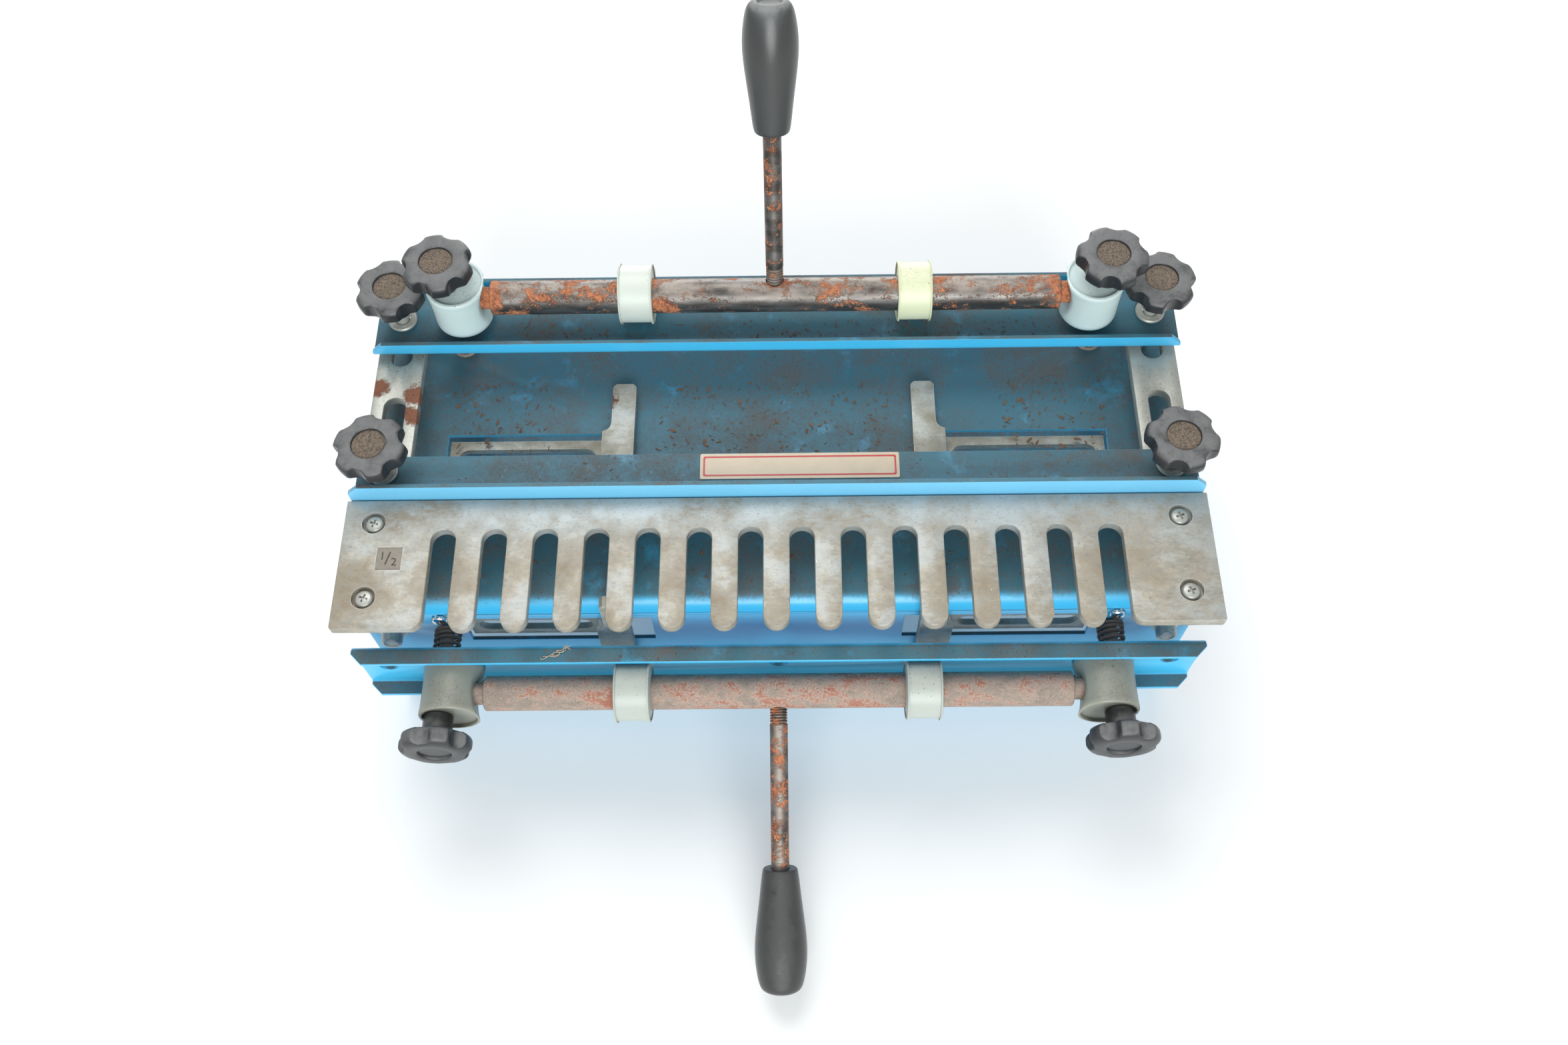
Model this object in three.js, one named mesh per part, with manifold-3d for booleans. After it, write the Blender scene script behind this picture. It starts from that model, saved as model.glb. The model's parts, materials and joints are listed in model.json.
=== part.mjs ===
// Dovetail jig: a folded steel base, two cam-pressed clamp bars, and a finger template on
// slotted arms, with side stops for both boards. Millimetres, +Z up, +X along the bars,
// -Y towards the user. The origin is on the ground, on the front foot's flat underside. Pieces
// are drawn with Y = 0 at the front face and moved to that origin when they are added.
import * as THREE from "three";
import Module from "manifold-3d";
import { mergeVertices } from "three/addons/utils/BufferGeometryUtils.js";

const wasm = await Module();
wasm.setup();

const GAP = 0.3; // between pieces that touch in the real jig
const FINE = 24; // sides of a large round
const COARSE = 12; // sides of a small round

// Base
const SHEET = 2;
const BASE_LENGTH = 376;
const BASE_DEPTH = 156;
const TABLE_Z = 100;
const BASE_BEND = 8;
const FOOT_DEPTH = 24;
const ORIGIN_Y = 16; // from the front face back to the origin, on the front foot
const WINDOW_WIDTH = 23.5;
const TABLE_WINDOW_INNER_X = 67.5; // covered by the finger
const FACE_WINDOW_INNER_X = 57;
const TABLE_WINDOW_END_X = 154.5;
const FACE_WINDOW_END_X = 142;
const TABLE_WINDOW_Y = 77;
const FACE_WINDOW_Z = 75;
const BACK_OPENING = { halfLength: 160, low: 12, high: 80 }; // in the rear leg

// Studs and the rows they stand in
const STUD_R = 3.2;
const STUD_HOLE_R = STUD_R + GAP;
const CLEARANCE_HOLE_R = STUD_R + 1;
const INNER_X = 150.5;
const OUTER_X = 175.7;
const MID_ROW_Y = 56.3;
const HEAD_R = 5.5;
const HEAD_HEIGHT = 4;
const STUD_INTO_KNOB = 8;
const KNOB_BORE = 15;

// Clamp bars, one lying over the table and one standing before the face
const BAR_LENGTH = 375;
const BAR_WIDTH = 38;
const BAR_LIP = 8.8;
const BAR_CHAMFER = 5;
const REAR_BAR_ROW_Y = 137.5;
const REAR_BAR_Z = 122.5;
const FRONT_BAR_Y = -16.4;
const FRONT_BAR_ROW_Z = 77;

// Cam rods, rings and levers
const ROD_R = 7.8;
const ROD_HALF = 130.5;
const PIN_R = 5;
const PIN_LENGTH = 9.5;
const RING_X = 64;
const RING_R = 14;
const RING_WIDTH = 15.6;
const RING_OFFSET = 4;
const LEVER_R = 4;
const LEVER_LENGTH = 134;
const GRIP_LENGTH = 55;
const RING_BEHIND_LEVER = 103; // degrees from the ring's high side round to the lever
const REAR_LEVER_ANGLE = 66;
const FRONT_LEVER_ANGLE = 118;

// Carriage cups that hold the rod's ends
const CUP_X = 145.5;
const CUP_R = 13.7;
const CUP_HEIGHT = 24.6;
const CUP_RECESS = 1.5;
const ROD_IN_CUP = 13.1;
const REAR_CUP_LIFT = 3.9;
const FRONT_CUP_LIFT = 0.4;

// Knobs and washers
const KNOB_R = 16.2;
const KNOB_THICK = 8.5;
const KNOB_HUB = 9.5;
const KNOB_LOBES = 6;
const WASHER_R = 6.8;
const WASHER_THICK = 1.6;
const CORNER_KNOB_FOOT = 11.5; // above the rear bar's underside
const MID_KNOB_FOOT = 130;

// Screws and side stops
const SCREW_SHANK_R = 2.2;
const SCREW_HEAD_R = 4;
const COUNTERBORE_R = 5.2;
const COUNTERBORE_DEPTH = 2.8;
const FACE_SCREW_X = 152;
const FACE_SCREW_Z = 88.2;
const TABLE_SCREW_Y = 80;
const STOP_X_LEFT = 72;
const STOP_X_RIGHT = 69;
const STOP_ARM_HALF = 9.6;
const STOP_ARM_THICK = 3.2;
const STOP_SLOT_R = 5;
const STOP_SLOT_START = 12.6; // from the finger's middle line, as is the next
const STOP_NECK_START = 3;

// Template: comb, arms and label bar
const PITCH = 22.225; // seven eighths of an inch
const FINGERS = 13;
const FINGER_WIDTH = 11.4;
const COMB_HALF = 188.7;
const COMB_THICK = 5;
const COMB_TOP = 125;
const TIP_Y = -21.5;
const BLOCK_Y = -20.7;
const SLOT_END_Y = 25.8;
const COMB_BACK_Y = 40.5;
const ARM_WIDTH = 21.6;
const ARM_THICK = 5;
const ARM_SLOT_R = 5;
const ARM_FRONT_Y = -15;
const ARM_SLOTS_Y = [
  [39, 97.3],
  [115, 152.5],
];
const LABEL_BAR_HALF = 187.4;
const LABEL_BAR_LIP = 15;
const LABEL_BAR_BACK_Y = 64.5;
const LABEL_LEFT_X = -34;
const LABEL_RIGHT_X = 55;
const LABEL_WIDTH = 13;
const LABEL_THICK = 0.4;
const COMB_MARK = { x: -167, y: 12, size: 11, deep: 0.5 };

const COMB_Z = COMB_TOP - COMB_THICK;
const ARM_TOP = COMB_Z - GAP;
const ARM_Z = ARM_TOP - ARM_THICK;
const LABEL_BAR_Z = ARM_TOP + GAP;
const SCREW_ROWS_Y = [-6.4, 29.4];

const blue = { color: 0x2f87b8, metalness: 0.2, roughness: 0.5 };
const zinc = { color: 0xa8a59a, metalness: 0.7, roughness: 0.5 };
const steel = { color: 0x77716c, metalness: 0.8, roughness: 0.5 };
const chrome = { color: 0xc9cbcc, metalness: 0.9, roughness: 0.25 };
const blackSteel = { color: 0x26221f, metalness: 0.6, roughness: 0.6 };
const blackPlastic = { color: 0x3a3b3d, metalness: 0, roughness: 0.6 };
const greyPlastic = { color: 0xb5bfb8, metalness: 0, roughness: 0.5 };
const cream = { color: 0xcfc3ac, metalness: 0, roughness: 0.6 };

const group = new THREE.Group();

// Turns a closed three.js geometry into a solid that can be cut and joined.
function solid(geometry) {
  const g = geometry.index ? geometry.toNonIndexed() : geometry;
  g.deleteAttribute("normal");
  g.deleteAttribute("uv");
  const merged = mergeVertices(g, 1e-4);
  return new wasm.Manifold(
    new wasm.Mesh({
      numProp: 3,
      vertProperties: merged.attributes.position.array,
      triVerts: new Uint32Array(merged.index.array),
    }),
  );
}

// Adds a solid to the jig as a named mesh.
function add(name, body, look, matrix) {
  const mesh = body.getMesh();
  const geometry = new THREE.BufferGeometry();
  geometry.setAttribute("position", new THREE.BufferAttribute(mesh.vertProperties, 3));
  geometry.setIndex(new THREE.BufferAttribute(mesh.triVerts, 1));
  if (matrix) geometry.applyMatrix4(matrix);
  geometry.translate(0, -ORIGIN_Y, 0);
  geometry.computeVertexNormals();
  const piece = new THREE.Mesh(geometry, new THREE.MeshStandardMaterial(look));
  piece.name = name;
  group.add(piece);
}

function box(x0, x1, y0, y1, z0, z1) {
  const g = new THREE.BoxGeometry(x1 - x0, y1 - y0, z1 - z0);
  g.translate((x0 + x1) / 2, (y0 + y1) / 2, (z0 + z1) / 2);
  return solid(g);
}

// A round bar from z0 to z1 about a vertical axis.
function post(r, x, y, z0, z1, sides = COARSE) {
  const g = new THREE.CylinderGeometry(r, r, z1 - z0, sides);
  g.rotateX(Math.PI / 2);
  g.translate(x, y, (z0 + z1) / 2);
  return solid(g);
}

// A round bar from x0 to x1 about an axis along X.
function axle(r, x0, x1, y, z, sides = FINE) {
  const g = new THREE.CylinderGeometry(r, r, x1 - x0, sides);
  g.rotateZ(Math.PI / 2);
  g.translate((x0 + x1) / 2, y, z);
  return solid(g);
}

// A body turned about Z from [radius, height] pairs that start and end on the axis.
function turned(pairs, sides = FINE) {
  const g = new THREE.LatheGeometry(pairs.map(([r, h]) => new THREE.Vector2(r, h)), sides);
  g.rotateX(Math.PI / 2);
  return solid(g);
}

// A flat outline in the XY plane, made thick between z0 and z1.
function plate(outline, z0, z1, curveSegments = 6) {
  const g = new THREE.ExtrudeGeometry(outline, {
    depth: z1 - z0,
    bevelEnabled: false,
    curveSegments,
  });
  g.translate(0, 0, z0);
  return solid(g);
}

// An outline in the YZ plane, run along X over the given length about X = 0.
function section(outline, length, curveSegments = 6) {
  const g = new THREE.ExtrudeGeometry(outline, {
    depth: length,
    bevelEnabled: false,
    curveSegments,
  });
  g.translate(0, 0, -length / 2);
  g.rotateY(Math.PI / 2);
  g.rotateX(Math.PI / 2);
  return solid(g);
}

// The lower and upper of two limits.
function between(a, b) {
  return [Math.min(a, b), Math.max(a, b)];
}

function movedTo(x, y, z) {
  return new THREE.Matrix4().makeTranslation(x, y, z);
}

function degrees(angle) {
  return (angle * Math.PI) / 180;
}

// The closed outline of a folded sheet: straight legs joined by round right-angle bends.
function foldedSheet(corners, thickness, bend) {
  const outer = [];
  const inner = [];
  for (let i = 0; i < corners.length; i++) {
    const here = new THREE.Vector2(...corners[i]);
    const before = i > 0 ? new THREE.Vector2(...corners[i - 1]) : null;
    const after = i < corners.length - 1 ? new THREE.Vector2(...corners[i + 1]) : null;
    if (!before || !after) {
      const along = after ? after.clone().sub(here) : here.clone().sub(before);
      const left = new THREE.Vector2(-along.y, along.x).normalize();
      outer.push(here.clone());
      inner.push(here.clone().addScaledVector(left, thickness));
      continue;
    }
    const into = here.clone().sub(before).normalize();
    const out = after.clone().sub(here).normalize();
    const turn = Math.sign(into.x * out.y - into.y * out.x);
    const centreLeft = turn > 0 ? bend : -(bend - thickness);
    const left = new THREE.Vector2(-into.y, into.x);
    const radius = Math.abs(centreLeft);
    const start = here.clone().addScaledVector(into, -radius);
    const centre = start.clone().addScaledVector(left, centreLeft);
    const steps = 6;
    for (let k = 0; k <= steps; k++) {
      const arm = left.clone().multiplyScalar(-turn);
      arm.rotateAround(new THREE.Vector2(), (turn * k * Math.PI) / 2 / steps);
      const outerR = turn > 0 ? bend : bend - thickness;
      const innerR = turn > 0 ? bend - thickness : bend;
      outer.push(centre.clone().addScaledVector(arm, outerR));
      inner.push(centre.clone().addScaledVector(arm, innerR));
    }
  }
  return new THREE.Shape([...outer, ...inner.reverse()]);
}

// Base: inward foot, front face, table, rear leg, inward foot.
function makeBase() {
  const profile = foldedSheet(
    [
      [FOOT_DEPTH, 0],
      [0, 0],
      [0, TABLE_Z],
      [BASE_DEPTH, TABLE_Z],
      [BASE_DEPTH, 0],
      [BASE_DEPTH - FOOT_DEPTH, 0],
    ].reverse(),
    SHEET,
    BASE_BEND,
  );
  let body = section(profile, BASE_LENGTH);
  const { halfLength, low, high } = BACK_OPENING;
  const backY = [BASE_DEPTH - SHEET - 1, BASE_DEPTH + 1];
  body = body.subtract(box(-halfLength, halfLength, ...backY, low, high));
  const half = WINDOW_WIDTH / 2;
  for (const side of [-1, 1]) {
    const tableX = between(TABLE_WINDOW_INNER_X * side, TABLE_WINDOW_END_X * side);
    const faceX = between(FACE_WINDOW_INNER_X * side, FACE_WINDOW_END_X * side);
    const tableWindow = [TABLE_WINDOW_Y - half, TABLE_WINDOW_Y + half];
    const faceWindow = [FACE_WINDOW_Z - half, FACE_WINDOW_Z + half];
    body = body.subtract(box(...tableX, ...tableWindow, TABLE_Z - SHEET - 1, TABLE_Z + 1));
    body = body.subtract(box(...faceX, -1, SHEET + 1, ...faceWindow));
    for (const [x, y] of [
      [INNER_X, REAR_BAR_ROW_Y],
      [OUTER_X, REAR_BAR_ROW_Y],
      [OUTER_X, MID_ROW_Y],
      [OUTER_X, TABLE_SCREW_Y],
    ]) {
      body = body.subtract(post(STUD_HOLE_R, x * side, y, TABLE_Z - SHEET - 1, TABLE_Z + 1));
    }
    for (const [x, z] of [
      [INNER_X, FRONT_BAR_ROW_Z],
      [OUTER_X, FRONT_BAR_ROW_Z],
      [FACE_SCREW_X, FACE_SCREW_Z],
    ]) {
      body = body.subtract(bore(STUD_HOLE_R, x * side, z));
    }
  }
  add("base", body, blue);
}

// A cutter through the front face, along Y.
function bore(r, x, z) {
  const g = new THREE.CylinderGeometry(r, r, SHEET + 2, COARSE);
  g.translate(x, SHEET / 2, z);
  return solid(g);
}

// Clamp modules are drawn once, lying down: the bar's underside is at Z = 0, the studs
// rise through Y = 0, and the rod, cups and knobs sit above.
const REAR = movedTo(0, REAR_BAR_ROW_Y, REAR_BAR_Z);
const FRONT = movedTo(0, FRONT_BAR_Y, FRONT_BAR_ROW_Z).multiply(
  new THREE.Matrix4().makeRotationX(Math.PI / 2),
);

function makeClampBar(name, place, middleHole) {
  const half = BAR_WIDTH / 2;
  const profile = foldedSheet(
    [
      [-half, BAR_LIP],
      [-half, 0],
      [half, 0],
      [half, BAR_LIP],
    ],
    SHEET,
    SHEET + 1,
  );
  let body = section(profile, BAR_LENGTH, 3);
  for (const side of [-1, 1]) {
    body = body.subtract(chamferCutter(side, BAR_LENGTH / 2, BAR_LIP, BAR_CHAMFER, BAR_WIDTH));
    body = body.subtract(post(CLEARANCE_HOLE_R, INNER_X * side, 0, -1, SHEET + 1));
    body = body.subtract(post(CLEARANCE_HOLE_R, OUTER_X * side, 0, -1, SHEET + 1));
  }
  if (middleHole) body = body.subtract(post(CLEARANCE_HOLE_R, 0, 0, -1, SHEET + 1));
  add(name, body, blue, place);
}

// Cuts the free corner of a lip at 45 degrees, across the whole width.
function chamferCutter(side, endX, lipTop, size, width) {
  const shape = new THREE.Shape();
  const over = 1;
  shape.moveTo(endX - size - over, lipTop + over);
  shape.lineTo(endX + over, lipTop + over);
  shape.lineTo(endX + over, lipTop - size - over);
  const g = new THREE.ExtrudeGeometry(shape, { depth: width + 2, bevelEnabled: false });
  g.translate(0, 0, -width / 2 - 1);
  g.rotateX(Math.PI / 2);
  if (side < 0) g.rotateZ(Math.PI);
  return solid(g);
}

function makeCup(name, side, lift, place) {
  const floor = SHEET + lift;
  const rim = floor + CUP_HEIGHT;
  let body = turned([
    [0, floor],
    [CUP_R - 0.8, floor],
    [CUP_R - 0.2, floor + 0.8],
    [CUP_R - 0.4, floor + CUP_HEIGHT / 2],
    [CUP_R, rim - 0.8],
    [CUP_R - 0.5, rim],
    [CUP_R - 1.6, rim],
    [CUP_R - 1.8, rim - CUP_RECESS],
    [0, rim - CUP_RECESS],
  ]);
  body = body.translate([CUP_X * side, 0, 0]);
  const axis = floor + ROD_IN_CUP;
  const inner = (CUP_X - CUP_R) * side;
  const pinEnd = (ROD_HALF + PIN_LENGTH + GAP) * side;
  const pinBore = between(inner - 2 * side, pinEnd);
  body = body.subtract(axle(PIN_R + GAP, ...pinBore, 0, axis, COARSE));
  body = body.subtract(saddle(side, axis));
  body = body.subtract(post(STUD_R + GAP, INNER_X * side, 0, floor - 1, rim + 1));
  add(name, body, greyPlastic, place);
}

// The hollow in a cup's inner side, opposite the rod's shoulder.
function saddle(side, axis) {
  const hollowR = 24;
  const depth = 3.5;
  const g = new THREE.CylinderGeometry(hollowR, hollowR, 3 * CUP_R, FINE);
  g.translate((CUP_X - CUP_R + depth - hollowR) * side, 0, axis);
  return solid(g);
}

function makeRod(name, lift, angle, place) {
  const axis = SHEET + lift + ROD_IN_CUP;
  let body = axle(ROD_R, -ROD_HALF, ROD_HALF, 0, axis);
  body = body.add(axle(PIN_R, -ROD_HALF - PIN_LENGTH, ROD_HALF + PIN_LENGTH, 0, axis, COARSE));
  const socket = post(LEVER_R + GAP, 0, 0, -2, ROD_R + 1).rotate([angle - 90, 0, 0]);
  body = body.subtract(socket.translate([0, 0, axis]));
  add(name, body, steel, place);
}

function makeRing(name, side, lift, angle, place) {
  const axis = SHEET + lift + ROD_IN_CUP;
  const half = RING_WIDTH / 2;
  const edge = 0.7;
  const high = degrees(angle - RING_BEHIND_LEVER);
  let body = turned([
    [0, -half],
    [RING_R - edge, -half],
    [RING_R, -half + edge],
    [RING_R, half - edge],
    [RING_R - edge, half],
    [0, half],
  ]).rotate([0, 90, 0]);
  body = body.translate([0, RING_OFFSET * Math.cos(high), RING_OFFSET * Math.sin(high)]);
  body = body.subtract(axle(ROD_R + GAP, -half - 1, half + 1, 0, 0));
  add(name, body.translate([RING_X * side, 0, axis]), greyPlastic, place);
}

// The lever's threaded end, its plain rod, and the end hidden in the grip.
function makeLever(name, lift, angle, place) {
  const axis = SHEET + lift + ROD_IN_CUP;
  const threadEnd = ROD_R + 6;
  const ridge = 1.25;
  const pairs = [[0, -1], [LEVER_R - 0.5, -1]];
  for (let h = ROD_R; h < threadEnd; h += ridge) {
    pairs.push([LEVER_R - 0.5, h], [LEVER_R, h + ridge / 2]);
  }
  pairs.push([LEVER_R, threadEnd + ridge], [LEVER_R, LEVER_LENGTH - 7], [0, LEVER_LENGTH - 7]);
  const body = turned(pairs, COARSE).rotate([angle - 90, 0, 0]);
  add(name, body.translate([0, 0, axis]), steel, place);
}

function makeGrip(name, lift, angle, place) {
  const axis = SHEET + lift + ROD_IN_CUP;
  const foot = LEVER_LENGTH - GRIP_LENGTH;
  const socketR = LEVER_R + GAP;
  const body = turned([
    [socketR, foot],
    [7, foot],
    [7.8, foot + 1.5],
    [9.4, foot + 14],
    [11, foot + 27],
    [11.7, foot + 35],
    [11.5, foot + 42],
    [10.4, foot + 49],
    [8.8, LEVER_LENGTH - 2],
    [6.5, LEVER_LENGTH],
    [4.5, LEVER_LENGTH - 1],
    [0, LEVER_LENGTH - 1.6],
    [0, LEVER_LENGTH - 6.5],
    [socketR, LEVER_LENGTH - 6.5],
    [socketR, foot],
  ]).rotate([angle - 90, 0, 0]);
  add(name, body.translate([0, 0, axis]), blackPlastic, place);
}

// A star knob on its hub, with a round hollow in its face and a blind hole for the stud.
function makeKnob(name, x, foot, turn, place) {
  const under = foot + KNOB_HUB;
  const top = under + KNOB_THICK;
  const round = 2;
  const hollowR = 7.4;
  let body = turned([
    [0, under],
    [KNOB_R, under],
    [KNOB_R, top - round],
    [KNOB_R - 0.6 * round, top - 0.3 * round],
    [KNOB_R - 1.5 * round, top],
    [hollowR, top],
    [hollowR - 0.3, top - 1.3],
    [0, top - 1.3],
  ]);
  const notchR = 4.7;
  for (let i = 0; i < KNOB_LOBES; i++) {
    const at = (2 * Math.PI * i) / KNOB_LOBES + degrees(turn);
    const out = KNOB_R + 1.2;
    body = body.subtract(
      post(notchR, out * Math.cos(at), out * Math.sin(at), under - 1, top + 1, 10),
    );
  }
  body = body.add(post(6.6, 0, 0, foot, under + 1));
  body = body.subtract(post(STUD_HOLE_R, 0, 0, foot - 1, foot + KNOB_BORE));
  add(name, body.translate([x, 0, 0]), blackPlastic, place);
}

// A stud with its hexagon head behind the sheet, and a collar for the arms on some.
function makeStud(name, x, sheetTop, top, place, collarTop) {
  const head = sheetTop - SHEET - GAP;
  let body = post(HEAD_R, x, 0, head - HEAD_HEIGHT, head, 6);
  body = body.add(post(STUD_R, x, 0, head - HEAD_HEIGHT / 2, top, COARSE));
  if (collarTop) {
    body = body.add(post(HEAD_R + 0.8, x, 0, collarTop - 6.5, collarTop, 6));
  }
  add(name, body, zinc, place);
}

class Helix extends THREE.Curve {
  constructor(radius, from, to, turns) {
    super();
    Object.assign(this, { radius, from, to, turns });
  }
  getPoint(t) {
    const angle = 2 * Math.PI * this.turns * t;
    const z = this.from + (this.to - this.from) * t;
    return new THREE.Vector3(this.radius * Math.cos(angle), this.radius * Math.sin(angle), z);
  }
}

function makeSpring(name, x, from, to, place) {
  const wire = 0.9;
  const turns = 5;
  const around = 6;
  const outline = new THREE.Shape();
  outline.absarc(0, 0, wire, 0, 2 * Math.PI);
  const g = new THREE.ExtrudeGeometry(outline, {
    extrudePath: new Helix(5.6, from + wire, to - wire, turns),
    steps: turns * 9,
    curveSegments: around / 2,
    bevelEnabled: false,
  });
  g.translate(x, 0, 0);
  add(name, solid(g), blackSteel, place);
}

function makeWasher(name, x, from, place) {
  const ring = turned([
    [STUD_HOLE_R, from],
    [WASHER_R - 0.3, from],
    [WASHER_R, from + 0.3],
    [WASHER_R, from + WASHER_THICK - 0.4],
    [WASHER_R - 0.5, from + WASHER_THICK],
    [STUD_HOLE_R, from + WASHER_THICK],
    [STUD_HOLE_R, from],
  ], COARSE + 4);
  add(name, ring.translate([x, 0, 0]), zinc, place);
}

// A clamp: its bar, cups, rod, rings, lever, studs, springs and knobs.
function makeClamp(name, place, lift, angle, sheetTop, knobTurns) {
  makeClampBar(`${name}_bar`, place, name === "front");
  makeRod(`${name}_rod`, lift, angle, place);
  makeLever(`${name}_lever`, lift, angle, place);
  makeGrip(`${name}_grip`, lift, angle, place);
  const knobFoot = SHEET + lift + CUP_HEIGHT - CUP_RECESS + GAP;
  for (const [word, side, turn] of [
    ["left", -1, knobTurns[0]],
    ["right", 1, knobTurns[1]],
  ]) {
    makeCup(`${name}_cup_${word}`, side, lift, place);
    makeRing(`${name}_ring_${word}`, side, lift, angle, place);
    makeKnob(`${name}_knob_${word}`, INNER_X * side, knobFoot, turn, place);
    makeStud(`${name}_stud_${word}`, INNER_X * side, sheetTop, knobFoot + STUD_INTO_KNOB, place);
    makeSpring(`${name}_spring_${word}`, INNER_X * side, sheetTop + GAP, -GAP, place);
  }
}

// Outline of the comb: two end blocks, with fingers between them.
function combOutline() {
  const shape = new THREE.Shape();
  const corner = 1.2;
  const innerCorner = 5;
  const tipR = FINGER_WIDTH / 2;
  const slotR = (PITCH - FINGER_WIDTH) / 2;
  const firstSlot = (-FINGERS / 2) * PITCH;
  shape.moveTo(-COMB_HALF, COMB_BACK_Y);
  shape.lineTo(-COMB_HALF, BLOCK_Y + corner);
  shape.lineTo(-COMB_HALF + corner, BLOCK_Y);
  const blockEnd = firstSlot - slotR;
  shape.lineTo(blockEnd - innerCorner, BLOCK_Y);
  shape.absarc(blockEnd - innerCorner, BLOCK_Y + innerCorner, innerCorner, -Math.PI / 2, 0);
  for (let i = 0; i <= FINGERS; i++) {
    const slotX = firstSlot + i * PITCH;
    shape.lineTo(slotX - slotR, SLOT_END_Y - slotR);
    shape.absarc(slotX, SLOT_END_Y - slotR, slotR, Math.PI, 0, true);
    if (i < FINGERS) {
      const tipX = slotX + PITCH / 2;
      shape.lineTo(tipX - tipR, TIP_Y + tipR);
      shape.absarc(tipX, TIP_Y + tipR, tipR, Math.PI, 2 * Math.PI);
    }
  }
  shape.lineTo(-blockEnd, BLOCK_Y + innerCorner);
  shape.absarc(-blockEnd + innerCorner, BLOCK_Y + innerCorner, innerCorner, Math.PI, 1.5 * Math.PI);
  shape.lineTo(COMB_HALF - corner, BLOCK_Y);
  shape.lineTo(COMB_HALF, BLOCK_Y + corner);
  shape.lineTo(COMB_HALF, COMB_BACK_Y);
  return shape;
}

function makeComb() {
  let body = plate(combOutline(), COMB_Z, COMB_TOP, 5);
  for (const side of [-1, 1]) {
    for (const y of SCREW_ROWS_Y) {
      const seat = COMB_TOP - COUNTERBORE_DEPTH;
      body = body.subtract(post(COUNTERBORE_R, OUTER_X * side, y, seat, COMB_TOP + 1));
      body = body.subtract(post(SCREW_SHANK_R + GAP, OUTER_X * side, y, COMB_Z - 1, COMB_TOP));
    }
  }
  const { x, y, size, deep } = COMB_MARK;
  const h = size / 2;
  body = body.subtract(box(x - h, x + h, y - h, y + h, COMB_TOP - deep, COMB_TOP + 1));
  add("comb", body, zinc);
}

// A pan-head screw pointing down, its head seated at Z = 0, with a cross recess.
function panHeadScrew(headR, headHeight, shankR, shankLength) {
  let body = turned([
    [0, -shankLength],
    [shankR, -shankLength],
    [shankR, 0],
    [headR, 0],
    [headR, headHeight * 0.45],
    [headR * 0.8, headHeight * 0.85],
    [headR * 0.4, headHeight],
    [0, headHeight],
  ], COARSE);
  const arm = headR * 0.5;
  const thin = headR * 0.14;
  const deep = headHeight * 0.45;
  body = body.subtract(box(-arm, arm, -thin, thin, deep, headHeight + 1));
  return body.subtract(box(-thin, thin, -arm, arm, deep, headHeight + 1));
}

function makeTemplateScrew(name, side, y, turn) {
  const seat = COMB_TOP - COUNTERBORE_DEPTH + GAP;
  const shank = seat - ARM_Z - 0.5;
  const body = panHeadScrew(SCREW_HEAD_R, 2.3, SCREW_SHANK_R, shank).rotate([0, 0, turn]);
  add(name, body, zinc, movedTo(OUTER_X * side, y, seat));
}

// A rounded slot along Y, as a cutter.
function slotCutter(x, y0, y1, r) {
  const shape = new THREE.Shape();
  shape.moveTo(x - r, y0 + r);
  shape.absarc(x, y0 + r, r, Math.PI, 2 * Math.PI);
  shape.absarc(x, y1 - r, r, 0, Math.PI);
  return plate(shape, ARM_Z - 1, ARM_TOP + 1);
}

function makeArm(name, side) {
  const half = ARM_WIDTH / 2;
  const x = OUTER_X * side;
  let body = box(x - half, x + half, ARM_FRONT_Y, BASE_DEPTH, ARM_Z, ARM_TOP);
  for (const [y0, y1] of ARM_SLOTS_Y) {
    body = body.subtract(slotCutter(x, y0, y1, ARM_SLOT_R));
  }
  for (const y of SCREW_ROWS_Y) {
    body = body.subtract(post(SCREW_SHANK_R + GAP, x, y, ARM_Z - 1, ARM_TOP + 1));
  }
  add(name, body, zinc);
}

// Label bar: held on the mid studs over the arms, with a tall lip the comb slides out from.
function makeLabelBar() {
  const front = COMB_BACK_Y + 2 * GAP;
  const profile = foldedSheet(
    [
      [front, LABEL_BAR_Z + LABEL_BAR_LIP],
      [front, LABEL_BAR_Z],
      [LABEL_BAR_BACK_Y, LABEL_BAR_Z],
    ],
    SHEET,
    SHEET + 1,
  );
  let body = section(profile, 2 * LABEL_BAR_HALF, 3);
  const lipTop = LABEL_BAR_Z + LABEL_BAR_LIP;
  for (const side of [-1, 1]) {
    body = body.subtract(
      chamferCutter(side, LABEL_BAR_HALF, lipTop, BAR_CHAMFER, 4 * LABEL_BAR_BACK_Y),
    );
    body = body.subtract(
      post(CLEARANCE_HOLE_R, OUTER_X * side, MID_ROW_Y, LABEL_BAR_Z - 1, LABEL_BAR_Z + SHEET + 1),
    );
  }
  add("label_bar", body, blue);
  const labelBack = LABEL_BAR_BACK_Y - 0.4;
  const labelZ = LABEL_BAR_Z + SHEET + 0.1;
  const label = box(LABEL_LEFT_X, LABEL_RIGHT_X, labelBack - LABEL_WIDTH, labelBack,
    labelZ, labelZ + LABEL_THICK);
  add("label_plate", label, cream);
}

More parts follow.
